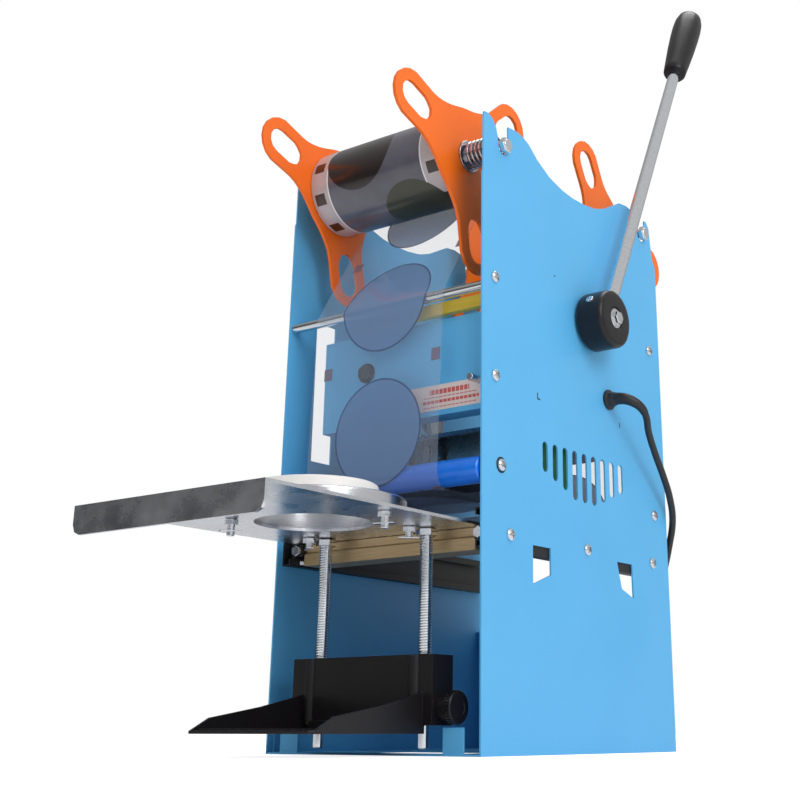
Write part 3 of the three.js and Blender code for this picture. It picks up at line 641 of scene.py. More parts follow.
give(finished(bar_along_x(-109.2, 109.2, -147, 371, 4.6), "front_film_rod"), chrome, "frame", "chrome_bar",
     "film_guide_rod")
give(finished(bar_along_x(-109.2, 109.2, 137, 210.5, 5.2), "rear_film_rod"), chrome, "frame", "chrome_bar",
     "rear_guide_rod")
gold = bright_metal("gold_anodised_aluminium", "#F2D95E", "#DDBB3C", 0.34, (0.04, 1, 1), 900.0)
gold_shader = gold.node_tree.nodes["Principled BSDF"]
gold_shader.inputs["Metallic"].default_value = 0.55
give(dressed("film_bar", "gold_bar", bevel=0.8), gold, "frame", "gold_bar", "film_bar")

urethane, shader = new_material("cast_urethane_blue")
shader.inputs["Coat Weight"].default_value = 0.5
shader.inputs["Coat Roughness"].default_value = 0.12
spots = add_node(urethane, "ShaderNodeTexCoord")
swirl = add_node(urethane, "ShaderNodeTexNoise", {"Vector": spots.outputs["Object"], "Scale": 60.0, "Detail": 3.0})
shade = add_node(urethane, "ShaderNodeMix", {0: swirl.outputs["Fac"], 6: linear("#0468E0"), 7: linear("#0A84FC")},
                 data_type="RGBA")
dull = add_node(urethane, "ShaderNodeMapRange", {"Value": swirl.outputs["Fac"], "To Min": 0.22, "To Max": 0.38})
urethane.node_tree.links.new(shade.outputs[2], shader.inputs["Base Color"])
urethane.node_tree.links.new(dull.outputs["Result"], shader.inputs["Roughness"])
roller = finished(bar_along_x(-107.8, 107.8, -145, 216, 11, sides=56, chamfer=1.0), "film_roller", bevel=0.3)
give(roller, urethane, "roller", "blue_roller", "guide_roller")
stubs = [bar_along_x(-109.4, -107.6, -145, 216, 5), bar_along_x(107.6, 109.4, -145, 216, 5)]
give(finished(joined(stubs, "roller_stubs"), "roller_stubs"), zinc, "roller", "machined_steel")


# ---- The reels ----
# Each reel is a film roll on a steel shaft between two star flanges, laser cut from 3 mm steel and coated
# orange. Springs push the supply flanges in. The used web winds up on the rear reel.

# Polyester powder on laser-cut plate: orange, satin.
orange_coat = powder_coat("powder_coated_steel_orange", "#FF760E", "#FC6A08", rough=0.36)


def star(node, name, centre):
    """A dressed flange whose inner corners are swept into curves."""
    alone()
    piece = bpy.data.objects.new(name, nodes[node].data.copy())
    bpy.context.scene.collection.objects.link(piece)
    pick(piece)
    bpy.ops.object.mode_set(mode="EDIT")
    bpy.ops.mesh.select_all(action="SELECT")
    bpy.ops.mesh.remove_doubles(threshold=2e-5)
    bpy.ops.mesh.dissolve_limited(angle_limit=math.radians(1.0))
    bpy.ops.mesh.select_mode(type="EDGE")
    for low, high, sweep in ((0.043, 0.054, 0.0105), (0.0605, 0.070, 0.006)):
        mesh = bmesh.from_edit_mesh(piece.data)
        for edge in mesh.edges:
            one, other = (v.co for v in edge.verts)
            across = abs(one.x - other.x) > 0.002
            reach = math.hypot(one.y - centre[0], one.z - centre[1])
            outer = len(edge.link_faces) == 2 and edge.calc_face_angle(0) > math.radians(8)
            edge.select_set(across and outer and low < reach < high)
        bmesh.update_edit_mesh(piece.data)
        bpy.ops.mesh.bevel(offset=sweep, segments=7, affect="EDGES", clamp_overlap=True)
    bpy.ops.object.mode_set(mode="OBJECT")
    for layer in list(piece.data.uv_layers):
        piece.data.uv_layers.remove(layer)
    if piece.data.has_custom_normals:
        bpy.ops.mesh.customdata_custom_splitnormals_clear()
    return finished(piece, name, bevel=0.5, smooth=38)


reels = (("supply", (-122, 508), 41.0), ("takeup", (126, 503), 20.0))
for reel, (y, z), radius in reels:
    for side in ("left", "right"):
        node = f"{reel}_flange_{side}"
        flange = star(node, f"{reel}_{side}_star", (y / 1000, z / 1000))
        give(flange, orange_coat, f"{reel}_reel", "orange_flange", node)
        low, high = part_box(node)
        outward = -1 if side == "left" else 1
        face = (low.x if outward < 0 else high.x) * 1000
        boss = turned([(15, 0), (15, 1.8), (14.2, 2.2), (9.2, 2.2), (9.2, 6.4), (8.6, 7)], sides=44, bore=6.0)
        boss = finished(set_at(boss, (face, y, z), (0, 90 * outward, 0)), f"{reel}_{side}_boss", bevel=0.3)
        give(boss, spring_wire, f"{reel}_reel", "machined_steel")
    shaft = [bar_along_x(-117, 117, y, z, 5.8, chamfer=0.8)]
    for outward in (-1, 1):
        shaft.append(set_at(hexagon(7.6, 5.0), (outward * 111.7, y, z), (0, 90 * outward, 0)))
    shaft = finished(joined(shaft, f"{reel}_bar"), f"{reel}_bar")
    give(shaft, chrome, f"{reel}_reel", "chrome_bar", f"{reel}_shaft")

for side, start, length, rounds in (("left", -100.1, 11.4, 3), ("right", 74.6, 25.5, 5)):
    wound = coil_spring(11.4, 1.6, length, rounds, sides=10)
    wound = finished(set_at(wound, (start, -122, 508), (0, 90, 0)), f"supply_{side}_coil", smooth=60)
    give(wound, spring_wire, "supply_reel", "chrome_bar", f"supply_spring_{side}")
collars = []
for start in (-103.6, 100.2):
    collar = turned([(12.6, 0), (13, 0.4), (13, 3), (12.6, 3.4)], sides=44, bore=6.0)
    collars.append(set_at(collar, (start, -122, 508), (0, 90, 0)))
give(finished(joined(collars, "supply_collars"), "supply_collars"), zinc, "supply_reel", "machined_steel")


# The film is 0.1 mm clear polypropylene, reverse printed with one translucent smoke disc for each lid and a
# square mark at both edges for the cutter's timing. On the roll, many turns make it look dark.

def film_roll(name, y, z, radius):
    """The wound film: a drum whose ends show the layers as shallow steps."""
    ends = [(radius - 3.0, 0.9), (radius - 2.4, 0.3), (radius - 1.2, 0.5), (radius - 0.5, 0.1), (radius, 0.5)]
    length = 152.0
    steps = [(9, 0.9)] + ends + [(radius, 36), (radius + 0.12, 71), (radius, 106)]
    steps += [(r, length - h) for r, h in reversed(ends)] + [(9, length - 0.9)]
    drum = turned(steps, sides=96, bore=9.0 - 1.2)
    return finished(set_at(drum, (-83, y, z), (0, 90, 0)), name, smooth=50)


def print_on(material, across, along, disc_at, disc_radius):
    """How far inside a printed disc each spot is, by its distance from the middle, in metres."""
    first = combine(material, "SUBTRACT", across, disc_at[0])
    second = combine(material, "SUBTRACT", along, disc_at[1])
    squares = combine(material, "ADD", combine(material, "MULTIPLY", first, first),
                      combine(material, "MULTIPLY", second, second))
    reach = add_node(material, "ShaderNodeMath", {0: squares}, operation="SQRT")
    return combine(material, "SUBTRACT", disc_radius, reach.outputs[0])


wound_film, shader = new_material("wound_polypropylene_film")
shader.inputs["Coat Weight"].default_value = 0.5
shader.inputs["Coat Roughness"].default_value = 0.08
shader.inputs["Roughness"].default_value = 0.28
spots = add_node(wound_film, "ShaderNodeTexCoord")
parts = add_node(wound_film, "ShaderNodeSeparateXYZ", {"Vector": spots.outputs["Object"]})
back = combine(wound_film, "SUBTRACT", parts.outputs["Y"], -0.122)
up = combine(wound_film, "SUBTRACT", parts.outputs["Z"], 0.508)
angle = combine(wound_film, "ARCTAN2", up, combine(wound_film, "MULTIPLY", back, -1.0))
arc = combine(wound_film, "MULTIPLY", angle, 0.041)
middle = combine(wound_film, "ADD", parts.outputs["X"], 0.007)
edge = add_node(wound_film, "ShaderNodeMath", {0: middle}, operation="ABSOLUTE")
bands = add_node(wound_film, "ShaderNodeTexNoise", {"Vector": spots.outputs["Object"], "Scale": 26.0, "Detail": 2.0})
grey = add_node(wound_film, "ShaderNodeMix", {0: bands.outputs["Fac"], 6: linear("#3C3B45"), 7: linear("#71707C")},
                data_type="RGBA")
clear = add_node(wound_film, "ShaderNodeMath", {0: edge.outputs[0], 1: 0.0560}, operation="GREATER_THAN")
shade = add_node(wound_film, "ShaderNodeMix", {0: clear.outputs[0], 6: grey.outputs[2], 7: linear("#B9AFB2")},
                 data_type="RGBA")
rim = between(wound_film, edge.outputs[0], 0.0546, 0.0560)
shade = add_node(wound_film, "ShaderNodeMix", {0: rim, 6: shade.outputs[2], 7: linear("#E9E6E6")}, data_type="RGBA")
steps_round = combine(wound_film, "FRACT", combine(wound_film, "MULTIPLY", arc, 31.0), 0.0)
dark_part = between(wound_film, steps_round, 0.22, 0.56)
marks = combine(wound_film, "MULTIPLY", dark_part, between(wound_film, edge.outputs[0], 0.0605, 0.0725))
shade = add_node(wound_film, "ShaderNodeMix", {0: marks, 6: shade.outputs[2], 7: linear("#33231F")}, data_type="RGBA")
# Each disc mixes its dark ink with a lighter tone by the band noise; that lighter tone is a painted highlight, such as
# the gold sheen on the olive disc.
for disc_at, size, code, ink_highlight in (((-0.026, 0.0175), 0.038, "#120C0B", "#2E2522"),
                                  ((0.026, -0.060), 0.036, "#151810", "#3E3D12"),
                                  ((-0.014, -0.102), 0.026, "#241C2A", "#3B3442"),
                                  ((0.016, 0.090), 0.036, "#120C0B", "#2E2522")):
    depth = print_on(wound_film, parts.outputs["X"], arc, disc_at, size)
    inside = add_node(wound_film, "ShaderNodeMapRange", {"Value": depth, "From Min": 0.0, "From Max": 0.0006})
    ink = add_node(wound_film, "ShaderNodeMix", {0: bands.outputs["Fac"], 6: linear(code), 7: linear(ink_highlight)},
                   data_type="RGBA")
    shade = add_node(wound_film, "ShaderNodeMix", {0: inside.outputs["Result"], 6: shade.outputs[2], 7: ink.outputs[2]},
                     data_type="RGBA")
wound_film.node_tree.links.new(shade.outputs[2], shader.inputs["Base Color"])
give(film_roll("film_drum", -122, 508, 41.0), wound_film, "supply_reel", "film", "film_roll")

# The used web is crumpled a little as it is wound, pale and milky; its colour follows the folds' relief, with painted
# shade in the hollows and painted highlight on the crests.
used_film, shader = new_material("wound_waste_film")
shader.inputs["Roughness"].default_value = 0.3
shader.inputs["Coat Weight"].default_value = 0.6
spots = add_node(used_film, "ShaderNodeTexCoord")
turn = add_node(used_film, "ShaderNodeMapping", {"Vector": spots.outputs["Object"], "Scale": (0.35, 1, 1)})
folds = add_node(used_film, "ShaderNodeTexNoise", {"Vector": turn.outputs["Vector"], "Scale": 60.0, "Detail": 5.0})
# Painted light: darker where the folds sink, paler where they rise, by the same noise as their bump.
shade = add_node(used_film, "ShaderNodeMix", {0: folds.outputs["Fac"], 6: linear("#5F626E"), 7: linear("#C3C6CF")},
                 data_type="RGBA")
rise = add_node(used_film, "ShaderNodeBump", {"Height": folds.outputs["Fac"], "Strength": 0.6, "Distance": 0.002})
used_film.node_tree.links.new(shade.outputs[2], shader.inputs["Base Color"])
used_film.node_tree.links.new(rise.outputs["Normal"], shader.inputs["Normal"])
waste = turned([(9, 0), (18.6, 0), (20, 0.8), (20.4, 40), (19.6, 80), (20.3, 120), (20, 144.2), (18.6, 145), (9, 145)],
               sides=72, bore=8.0)
give(finished(set_at(waste, (-76, 126, 503), (0, 90, 0)), "waste_drum", smooth=50), used_film, "takeup_reel", "film",
     "waste_roll")


# The web itself: one strip from the roll's back, over the front rod, round the blue roller, under the head,
# and up to the rear reel. It is a flat grid laid along that path.

path = [Vector((-85.4, 487.2))]


def bend_round(y, z, radius, start, stop, count):
    for i in range(count + 1):
        turn = math.radians(start + (stop - start) * i / count)
        path.append(Vector((y + radius * math.cos(turn), z + radius * math.sin(turn))))


bend_round(-147, 371, 5.1, 150, 181, 5)
bend_round(-145, 216, 12, 179, 270, 10)
bend_round(137, 210.5, 5.9, 270, 358, 8)
path.append(Vector((146.6, 500)))
reach = [0.0]
for one, other in zip(path, path[1:]):
    reach.append(reach[-1] + (other - one).length)


def along_path(distance):
    """The (y, z) on the web's path at a distance from its start, in mm."""
    for i in range(len(path) - 1):
        if distance <= reach[i + 1] or i == len(path) - 2:
            share = (distance - reach[i]) / (reach[i + 1] - reach[i])
            return path[i].lerp(path[i + 1], min(max(share, 0.0), 1.0))


alone()
web_length = reach[-1]
bpy.ops.mesh.primitive_grid_add(x_subdivisions=12, y_subdivisions=420, size=1, calc_uvs=True)
web = bpy.context.object
for vertex in web.data.vertices:
    across = vertex.co.x + 0.5
    distance = (vertex.co.y + 0.5) * web_length
    y, z = along_path(distance)
    billow = 0.5 * math.sin(distance / 31) * math.sin(across * 7.0) if 20 < distance < 110 else 0.0
    vertex.co = Vector((-76 + 145 * across, y + billow, z)) / 1000
skin = web.modifiers.new("thickness", "SOLIDIFY")
skin.thickness = 0.00012
skin.offset = 0
pick(web)
bpy.ops.object.modifier_apply(modifier="thickness")
web.name = "film_strip"
bpy.ops.object.shade_smooth_by_angle(angle=math.radians(50))

film, shader = new_material("printed_polypropylene_film")
shader.inputs["Roughness"].default_value = 0.10
shader.inputs["IOR"].default_value = 1.49
shader.inputs["Coat Weight"].default_value = 0.4
shader.inputs["Coat Roughness"].default_value = 0.05
layout = add_node(film, "ShaderNodeUVMap")
parts = add_node(film, "ShaderNodeSeparateXYZ", {"Vector": layout.outputs["UV"]})
across = combine(film, "SUBTRACT", combine(film, "MULTIPLY", parts.outputs["X"], 0.145), 0.0786)
distance = combine(film, "MULTIPLY", parts.outputs["Y"], web_length / 1000)
first_disc = 0.128
shifted = combine(film, "ADD", combine(film, "SUBTRACT", distance, first_disc), 0.060 + 0.120 * 4)
pitch = combine(film, "SUBTRACT", combine(film, "MODULO", shifted, 0.120), 0.060)
depth = print_on(film, across, pitch, (0.0, 0.0), 0.0475)
inside = add_node(film, "ShaderNodeMapRange", {"Value": depth, "From Min": 0.0, "From Max": 0.0005})
line_round = between(film, depth, 0.0, 0.0016)
square = combine(film, "MULTIPLY", between(film, add_node(film, "ShaderNodeMath", {0: across},
                                                          operation="ABSOLUTE").outputs[0],
                                           0.0560, 0.0655),
                 add_node(film, "ShaderNodeMath", {0: add_node(film, "ShaderNodeMath", {0: pitch},
                                                               operation="ABSOLUTE").outputs[0],
                                                   1: 0.0545}, operation="GREATER_THAN").outputs[0])
shade = add_node(film, "ShaderNodeMix", {0: inside.outputs["Result"], 6: linear("#BCC8DA"), 7: linear("#7C9AC4")},
                 data_type="RGBA")
shade = add_node(film, "ShaderNodeMix", {0: line_round, 6: shade.outputs[2], 7: linear("#5C6E94")}, data_type="RGBA")
shade = add_node(film, "ShaderNodeMix", {0: square, 6: shade.outputs[2], 7: linear("#8C8294")}, data_type="RGBA")
cover = combine(film, "ADD", combine(film, "MULTIPLY", inside.outputs["Result"], 0.55), 0.13)
cover = combine(film, "MAXIMUM", cover, combine(film, "MULTIPLY", combine(film, "MAXIMUM", line_round, square), 0.72))
film.node_tree.links.new(shade.outputs[2], shader.inputs["Base Color"])
film.node_tree.links.new(cover, shader.inputs["Alpha"])
give(web, film, "frame", "film", "film_web")


# ---- Lever and linkage ----
# A steel shaft runs right across. Outside it carries the hand lever: a black phenolic hub, a chromed bar and a
# moulded grip. Inside, two welded cranks push the head down through links.

# Phenolic and ABS mouldings: near black, with a fine spark-eroded texture about 0.5 mm across.
black_abs, shader = new_material("moulded_black_abs")
shader.inputs["IOR"].default_value = 1.53
shader.inputs["Specular IOR Level"].default_value = 0.32
spots = add_node(black_abs, "ShaderNodeTexCoord")
grain = add_node(black_abs, "ShaderNodeTexNoise", {"Vector": spots.outputs["Object"], "Scale": 1800.0, "Detail": 2.0})
rub = add_node(black_abs, "ShaderNodeTexNoise", {"Vector": spots.outputs["Object"], "Scale": 28.0, "Detail": 4.0})
shade = add_node(black_abs, "ShaderNodeMix", {0: rub.outputs["Fac"], 6: linear("#121013"), 7: linear("#211E21")},
                 data_type="RGBA")
dull = add_node(black_abs, "ShaderNodeMapRange", {"Value": rub.outputs["Fac"], "To Min": 0.26, "To Max": 0.44})
rise = add_node(black_abs, "ShaderNodeBump", {"Height": grain.outputs["Fac"], "Strength": 0.22, "Distance": 0.0002})
for socket, value in (("Base Color", shade.outputs[2]), ("Roughness", dull.outputs["Result"]),
                      ("Normal", rise.outputs["Normal"])):
    black_abs.node_tree.links.new(value, shader.inputs[socket])

give(finished(bar_along_x(-114, 134, 17, 378, 6, chamfer=0.8), "lever_shaft"), machined, "lever", "machined_steel",
     "main_shaft")
for side in ("left", "right"):
    give(dressed(f"crank_{side}", f"{side}_crank", bevel=0.4), machined, "lever", "machined_steel", f"crank_{side}")
    give(dressed(f"link_{side}", f"{side}_link", bevel=0.4), machined, "link_" + side[0], "machined_steel",
         f"link_{side}")

hub = turned([(24.5, 0), (26.6, 0.8), (27.5, 2.6), (27.5, 23.5), (26.7, 26.0), (24.6, 27.6), (22, 28), (11.5, 28),
              (11, 26.6), (8, 26.6)], sides=72)
give(finished(set_at(hub, (113, 17, 378), (0, 90, 0)), "lever_boss", bevel=0.3), black_abs, "lever", "black_plastic",
     "lever_hub")
end_bolt = joined([set_at(hexagon(6.3, 4.6), (140.6, 17, 378), (0, 90, 0)),
                   set_at(turned([(9.2, 0), (9.2, 1.0), (8.8, 1.2)], sides=40), (139.6, 17, 378), (0, 90,
                                                                                                   0))], "hub_end_bolt")
give(end_bolt, zinc, "lever", "machined_steel", "hub_bolt")
set_screw = turned([(3.6, 0), (3.6, 1.6), (3.2, 2.0), (1.7, 2.0), (1.7, 0.6)], sides=24)
screw_lean = math.radians(32)
screw_at = (127, 17 - 27.0 * math.cos(screw_lean), 378 + 27.0 * math.sin(screw_lean))
set_screw = finished(set_at(set_screw, screw_at, (90 - 32, 0, 0)), "hub_set_screw", bevel=0.1)
give(set_screw, zinc, "lever", "machined_steel")

LEAN = 27
lean = Vector((0, math.sin(math.radians(LEAN)), math.cos(math.radians(LEAN))))


def up_the_lever(distance):
    return Vector((129, 17, 378)) + lean * distance


bar = turned([(6.6, 0), (6.6, 60), (6.3, 200), (6.1, 416), (5.4, 416.6)], sides=56)
give(finished(set_at(bar, up_the_lever(12.3), (-LEAN, 0, 0)), "lever_bar", bevel=0.2), chrome, "lever", "chrome_bar",
     "lever_rod")
grip = turned([(9.6, 0), (11.6, 0.6), (12.4, 2.2), (12.8, 8), (13.8, 22), (15.2, 44), (16.1, 66), (16.3, 82), (15.6,
                                                                                                               94),
               (13.6, 102.4), (10.4, 107), (6.0, 108.8), (2.0, 109.2)], sides=64)
give(finished(set_at(grip, up_the_lever(372), (-LEAN, 0, 0)), "lever_handle", smooth=40), black_abs, "lever",
     "black_plastic", "lever_grip")


# ---- Heated head ----
# A steel plate that slides on the two posts. Under it hang the aluminium heater, coated against sticking, and
# the steel ring that cuts the film. A folded yoke with two pins takes the push of the links.

give(dressed("head_plate", "press_plate", bevel=0.4), machined, "head", "machined_steel", "head_plate")
give(dressed("cutter_ring", "film_cutter", bevel=0.1), machined, "head", "machined_steel", "cutter_ring")
give(dressed("head_yoke", "press_yoke", bevel=0.5), machined, "head", "machined_steel", "head_yoke")
heater = turned([(50.6, 237.2), (51.4, 237.4), (52, 238), (52, 243.6), (51.4, 244.2)], sides=80)
coated = powder_coat("fluoropolymer_coated_aluminium", "#565A5E", "#4A4D51", rough=0.5)
give(finished(set_at(heater, (0, -4, 0)), "heater_disc", bevel=0.2), coated, "head", "aluminium", "heating_plate")
head_bolts = []
for x, y in ((-18, -60), (18, 52), (-56, 14), (56, -22)):
    head_bolts.append(set_at(hexagon(7.0, 4.4), (x, y, 266), (0, 0, 10)))
for x in (-62, 62):
    head_bolts.append(set_at(hexagon(4.4, 3.0), (x, -4, 270.9), (0, 0, 20)))
give(joined(head_bolts, "press_plate_bolts"), zinc, "head", "machined_steel")


# ---- Tray ----
# A folded 2.5 mm aluminium plate, brushed along its length, with the cup's ring clamped over its opening: a
# turned aluminium ring with a white silicone seat for the cup's rim.

# Brushed sheet: fine lines about 0.3 mm apart along X, and the cloudy smears of handling.
brushed, shader = new_material("brushed_aluminium_sheet")
shader.inputs["Metallic"].default_value = 1.0
spots = add_node(brushed, "ShaderNodeTexCoord")
turn = add_node(brushed, "ShaderNodeMapping", {"Vector": spots.outputs["Object"], "Scale": (0.03, 1, 1)})
lines = add_node(brushed, "ShaderNodeTexNoise", {"Vector": turn.outputs["Vector"], "Scale": 2600.0, "Detail": 2.0})
smear = add_node(brushed, "ShaderNodeTexNoise", {"Vector": spots.outputs["Object"], "Scale": 34.0, "Detail": 6.0,
                                                 "Roughness": 0.62})
cloud = add_node(brushed, "ShaderNodeMapRange", {"Value": smear.outputs["Fac"], "From Min": 0.25, "From Max": 0.75})
shade = add_node(brushed, "ShaderNodeMix", {0: cloud.outputs["Result"], 6: linear("#CBCED6"), 7: linear("#ECEEF2")},
                 data_type="RGBA")
dull = add_node(brushed, "ShaderNodeMapRange", {"Value": cloud.outputs["Result"], "To Min": 0.20, "To Max": 0.36})
rise = add_node(brushed, "ShaderNodeBump", {"Height": lines.outputs["Fac"], "Strength": 0.16, "Distance": 0.0002})
for socket, value in (("Base Color", shade.outputs[2]), ("Roughness", dull.outputs["Result"]),
                      ("Normal", rise.outputs["Normal"])):
    brushed.node_tree.links.new(value, shader.inputs[socket])
give(dressed("tray_plate", "slide_tray", bevel=0.7, segments=3), brushed, "tray", "aluminium", "tray_plate")
# Bare rolled steel for the channel; its beige-brown colour is a painted warm reflection, not a finish of its own.
steel_painted_warm_reflection = bright_metal("rolled_steel_painted_warm_reflection", "#D8C29A", "#A98B60", 0.42, (0.06, 1, 1), 700.0)
steel_painted_warm_reflection.node_tree.nodes["Principled BSDF"].inputs["Metallic"].default_value = 0.7
give(dressed("tray_beam", "tray_channel", bevel=0.4), steel_painted_warm_reflection, "tray", "aluminium", "tray_beam")

turned_aluminium = bright_metal("turned_aluminium", "#E6E7EA", "#C6C9CE", 0.22, (1, 1, 8), 260.0)
ring = turned([(72.0, 175.3), (73, 176.2), (73, 188.6), (72.5, 189.8), (71.4, 190.3)], sides=112, bore=47)
give(finished(set_at(ring, (0, -225, 0)), "cup_ring", bevel=0.3), turned_aluminium, "tray", "aluminium", "die_ring")
silicone, shader = new_material("white_silicone_rubber")
shader.inputs["Subsurface Weight"].default_value = 0.15
shader.inputs["Subsurface Scale"].default_value = 0.004
spots = add_node(silicone, "ShaderNodeTexCoord")
bloom = add_node(silicone, "ShaderNodeTexNoise", {"Vector": spots.outputs["Object"], "Scale": 70.0, "Detail": 3.0})
shade = add_node(silicone, "ShaderNodeMix", {0: bloom.outputs["Fac"], 6: linear("#E9E7E2"), 7: linear("#F8F7F5")},
                 data_type="RGBA")
dull = add_node(silicone, "ShaderNodeMapRange", {"Value": bloom.outputs["Fac"], "To Min": 0.42, "To Max": 0.56})
silicone.node_tree.links.new(shade.outputs[2], shader.inputs["Base Color"])
silicone.node_tree.links.new(dull.outputs["Result"], shader.inputs["Roughness"])
seat = turned([(53, 190.6), (53, 192.6), (51.6, 195.4), (50.2, 199.6), (49.6, 201.2), (48.4, 202.0)], sides=112,
              bore=46)
give(finished(set_at(seat, (0, -225, 0)), "rim_seat", bevel=0.4, smooth=50), silicone, "tray", "white_silicone",
     "seat_ring")

# Each clamp under the plate is a spring clip on a screw, its nut showing below.
clamps = []
for x, y, spin in ((84, -238, 15), (-38, -277, 60), (-60, -166, 140), (50, -168, 220)):
    tail = 13 if y < -200 else 8.6
    clamps.append(set_at(turned([(2.6, -tail), (3.0, 0.6 - tail), (3.0, 0)], sides=24), (x, y, 172.4)))
    clamps.append(set_at(hexagon(5.6, 4.4), (x, y, 167.8), (0, 0, spin)))
    clip = block((-8.5, -3.2, -7.4), (8.5, 3.2, -6.2))
    finished(clip, "clip", bevel=0.4)
    clip.data.transform(Matrix.Rotation(math.radians(spin), 4, "Z"))
    clamps.append(set_at(clip, (x, y, 170)))
give(joined(clamps, "ring_clamps"), zinc, "tray", "machined_steel")

for side, sign in (("left", -1), ("right", 1)):
    give(dressed(f"carriage_{side}", f"{side}_carriage", bevel=0.6), dark_steel, "tray", "black_steel",
         f"carriage_{side}")
carriage_bolts = []
for sign in (-1, 1):
    for y in (-133, -113):
        carriage_bolts.append(set_at(hexagon(4.6, 3.4), (sign * 98.5, y, 158.6 - 0.2), (180, 0, 15)))
    carriage_bolts.append(set_at(hexagon(5.0, 3.6), (sign * 99, -139.2, 167), (90, 0, 5)))
give(joined(carriage_bolts, "carriage_bolts"), zinc, "tray", "machined_steel")

# The two hanging rods are rolled with a full thread, except for their thinner ends, and zinc plated.
for side, x in (("left", -54.6), ("right", 54.6)):
    core = turned([(3.6, 5), (4.3, 5.7), (4.3, 43), (4.9, 44.4), (4.9, 172)], sides=32)
    ridge = coil_spring(4.8, 0.85, 126, 60, sides=4)
    rod = joined([finished(core, "core"), finished(set_at(ridge, (0, 0, 45.4)), "ridge", smooth=25),
                  set_at(hexagon(9.0, 5.6), (0, 0, 166.4))], f"{side}_threaded_rod")
    give(set_at(rod, (x, -150.7, 0)), chrome, "tray", "chrome_bar", f"rod_{side}")


# ---- Cup holder ----
# One black ABS moulding that slides on the two rods: a shallow scoop with rising sides and a ribbed floor in
# front of a tall box. The knurled knob on its side clamps it at the height of the cup.

scoop = dressed("cup_holder", "cup_scoop", bevel=0.7)
ribs = [scoop]
for i in range(-5, 6):
    ribs.append(finished(block((i * 10.4 - 0.9, -282, 18.2), (i * 10.4 + 0.9, -176, 19.6)), "rib", bevel=0.4))
for y in (-262, -222, -182):
    ribs.append(finished(block((-58, y - 0.9, 18.2), (58, y + 0.9, 19.2)), "rib", bevel=0.4))
for x in (-54.6, 54.6):
    column = turned([(4.4, 22), (5.0, 22.8), (5.0, 73.0), (4.4, 73.8)], sides=40)
    ribs.append(finished(set_at(column, (x, -162.2, 0)), "column", bevel=0.3))
scoop = joined(ribs, "cup_scoop")
give(scoop, black_abs, "holder", "black_plastic", "cup_holder")

knob = turned([(9.2, 0), (9.5, 0.5), (9.5, 7.2), (12.0, 8.0), (12.5, 8.8), (12.5, 14.6), (11.6, 15.6), (7, 15.7),
               (6.6, 15.0)],
              sides=60)
pick(knob)
bpy.ops.object.mode_set(mode="EDIT")
bpy.ops.mesh.select_mode(type="FACE")
bpy.ops.mesh.select_all(action="DESELECT")
mesh = bmesh.from_edit_mesh(knob.data)
for face in mesh.faces:
    centre = face.calc_center_median() * 1000
    turn_round = math.degrees(math.atan2(centre.y, centre.x)) % 12
    face.select = 8.9 < centre.z < 14.5 and math.hypot(centre.x, centre.y) > 12 and turn_round < 6
bmesh.update_edit_mesh(knob.data)
bpy.ops.mesh.extrude_region_move()
bpy.ops.transform.resize(value=(0.94, 0.94, 1), center_override=(0, 0, 0))
bpy.ops.object.mode_set(mode="OBJECT")
give(finished(set_at(knob, (73.4, -150.7, 35), (0, 90, 0)), "height_knob", bevel=0.2), black_abs, "holder_lock",
     "black_plastic", "holder_knob")


# ---- Controls ----
# Inside the right panel stands the temperature control: a glass-epoxy board with its transformer, relay and
# capacitor. The rocker switch and the dial are on the left panel.

fibreglass, shader = new_material("glass_epoxy_board")
shader.inputs["Coat Weight"].default_value = 0.5
spots = add_node(fibreglass, "ShaderNodeTexCoord")
tracks = add_node(fibreglass, "ShaderNodeTexVoronoi", {"Vector": spots.outputs["Object"], "Scale": 160.0},
                  distance="CHEBYCHEV")
shade = add_node(fibreglass, "ShaderNodeMix", {0: tracks.outputs["Distance"], 6: linear("#1F6B3A"),
                                               7: linear("#3E9A5C")},
                 data_type="RGBA")
fibreglass.node_tree.links.new(shade.outputs[2], shader.inputs["Base Color"])
shader.inputs["Roughness"].default_value = 0.4
board = finished(block((101.5, -73, 212), (103.1, -9, 262)), "circuit_board", bevel=0.2)
give(board, fibreglass, "frame", "circuit_board", "control_board")

tape = powder_coat("varnished_transformer_tape", "#C98C3A", "#A86E26", rough=0.45)
core = [block((85, -66, 215), (101.5, -60, 229)), block((85, -52, 215), (101.5, -46, 229))]
core = finished(joined(core, "transformer_core"), "transformer_core", bevel=0.5)
give(core, machined, "frame", "machined_steel")
give(finished(block((84.4, -60.4, 214.4), (101.4, -51.6, 229.8)), "transformer_winding", bevel=1.2, segments=3), tape,
     "frame", "circuit_board")
give(finished(block((92, -41, 215), (101.5, -27, 229)), "relay", bevel=0.8), black_abs, "frame", "black_plastic")
can = turned([(5.0, 0), (5.5, 0.6), (5.5, 1.8), (5.1, 2.3), (5.5, 2.8), (5.5, 11), (5.0, 11.5)], sides=40)
give(finished(set_at(can, (101.6, -18, 222), (0, -90, 0)), "capacitor", bevel=0.15), black_abs, "frame",
     "black_plastic")
small_parts = []
for i, (y, z, along, up) in enumerate(((-66, 246, 7, 3), (-54, 250, 3, 8), (-46, 243, 6, 2.4), (-38, 252, 9, 4),
                                       (-26, 244, 3, 6), (-17, 252, 6, 6), (-62, 236, 4, 4), (-48, 235, 8, 2.4),
                                       (-30, 236, 5, 3))):
    small_parts.append(finished(block((97.4 + (i % 3), y - along / 2, z - up / 2), (101.6, y + along / 2, z + up / 2)),
                                "part", bevel=0.4))
give(joined(small_parts, "board_parts"), tape, "frame", "circuit_board")

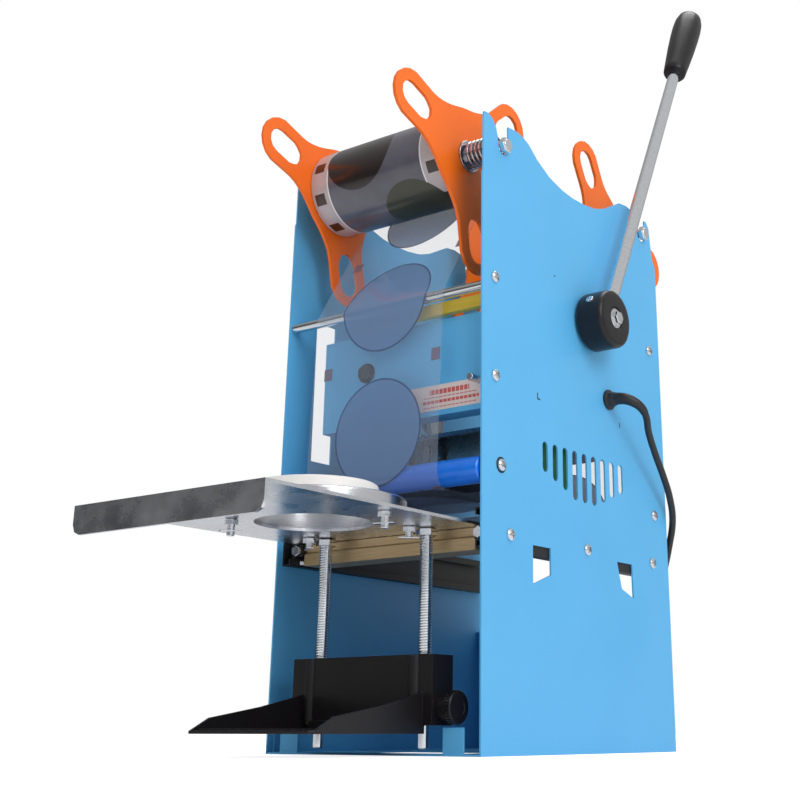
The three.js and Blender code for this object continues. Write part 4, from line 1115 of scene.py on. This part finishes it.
bezel = block((-112.4, 42.5, 290), (-110.9, 63.5, 308))
rocker = dressed("power_switch", "rocker", bevel=1.2, segments=3)
give(rocker, black_abs, "switch", "black_plastic", "power_switch")
opening = block((-113, 43.9, 292.6), (-110, 62.1, 305.4))
hole = bezel.modifiers.new("opening", "BOOLEAN")
hole.object = opening
hole.operation = "DIFFERENCE"
hole.solver = "EXACT"
pick(bezel)
bpy.ops.object.modifier_apply(modifier="opening")
bpy.data.objects.remove(opening)
give(finished(bezel, "rocker_bezel", bevel=0.4), black_abs, "frame", "black_plastic")

dial = turned([(13, 0), (13, 1.2), (11.8, 1.8), (10.6, 9.6), (9.6, 11.2), (8, 11.6)], sides=60)
pick(dial)
bpy.ops.object.mode_set(mode="EDIT")
bpy.ops.mesh.select_mode(type="FACE")
bpy.ops.mesh.select_all(action="DESELECT")
mesh = bmesh.from_edit_mesh(dial.data)
for face in mesh.faces:
    centre = face.calc_center_median() * 1000
    face.select = 2 < centre.z < 9.5 and math.degrees(math.atan2(centre.y, centre.x)) % 30 < 12
bmesh.update_edit_mesh(dial.data)
bpy.ops.mesh.extrude_region_move()
bpy.ops.transform.resize(value=(0.93, 0.93, 1), center_override=(0, 0, 0))
bpy.ops.object.mode_set(mode="OBJECT")
stem = set_at(turned([(3, 0), (3, 7)], sides=24), (0, 0, -7))
dial = joined([dial, stem], "heat_dial")
give(finished(set_at(dial, (-111.4, 53, 326), (0, -90, 0)), "heat_dial", bevel=0.3), black_abs, "temperature_dial",
     "black_plastic", "temperature_knob")
white_ink, shader = new_material("white_pad_print")
shader.inputs["Roughness"].default_value = 0.5
spots = add_node(white_ink, "ShaderNodeTexCoord")
fleck = add_node(white_ink, "ShaderNodeTexNoise", {"Vector": spots.outputs["Object"], "Scale": 700.0})
shade = add_node(white_ink, "ShaderNodeMix", {0: fleck.outputs["Fac"], 6: linear("#DADADA"), 7: linear("#F4F4F4")},
                 data_type="RGBA")
white_ink.node_tree.links.new(shade.outputs[2], shader.inputs["Base Color"])
pointer = finished(block((-123.12, 52.5, 327.5), (-122.9, 53.5, 334)), "dial_pointer", bevel=0.05)
give(pointer, white_ink, "temperature_dial", "white_silicone")
ticks = []
for i in range(11):
    tick = block((-0.06, -0.35, 15), (0.06, 0.35, 18.6))
    tick.data.transform(Matrix.Rotation(math.radians(-135 + 27 * i), 4, "X"))
    ticks.append(set_at(tick, (-111.1, 53, 326)))
give(joined(ticks, "dial_ticks"), white_ink, "frame", "white_silicone")
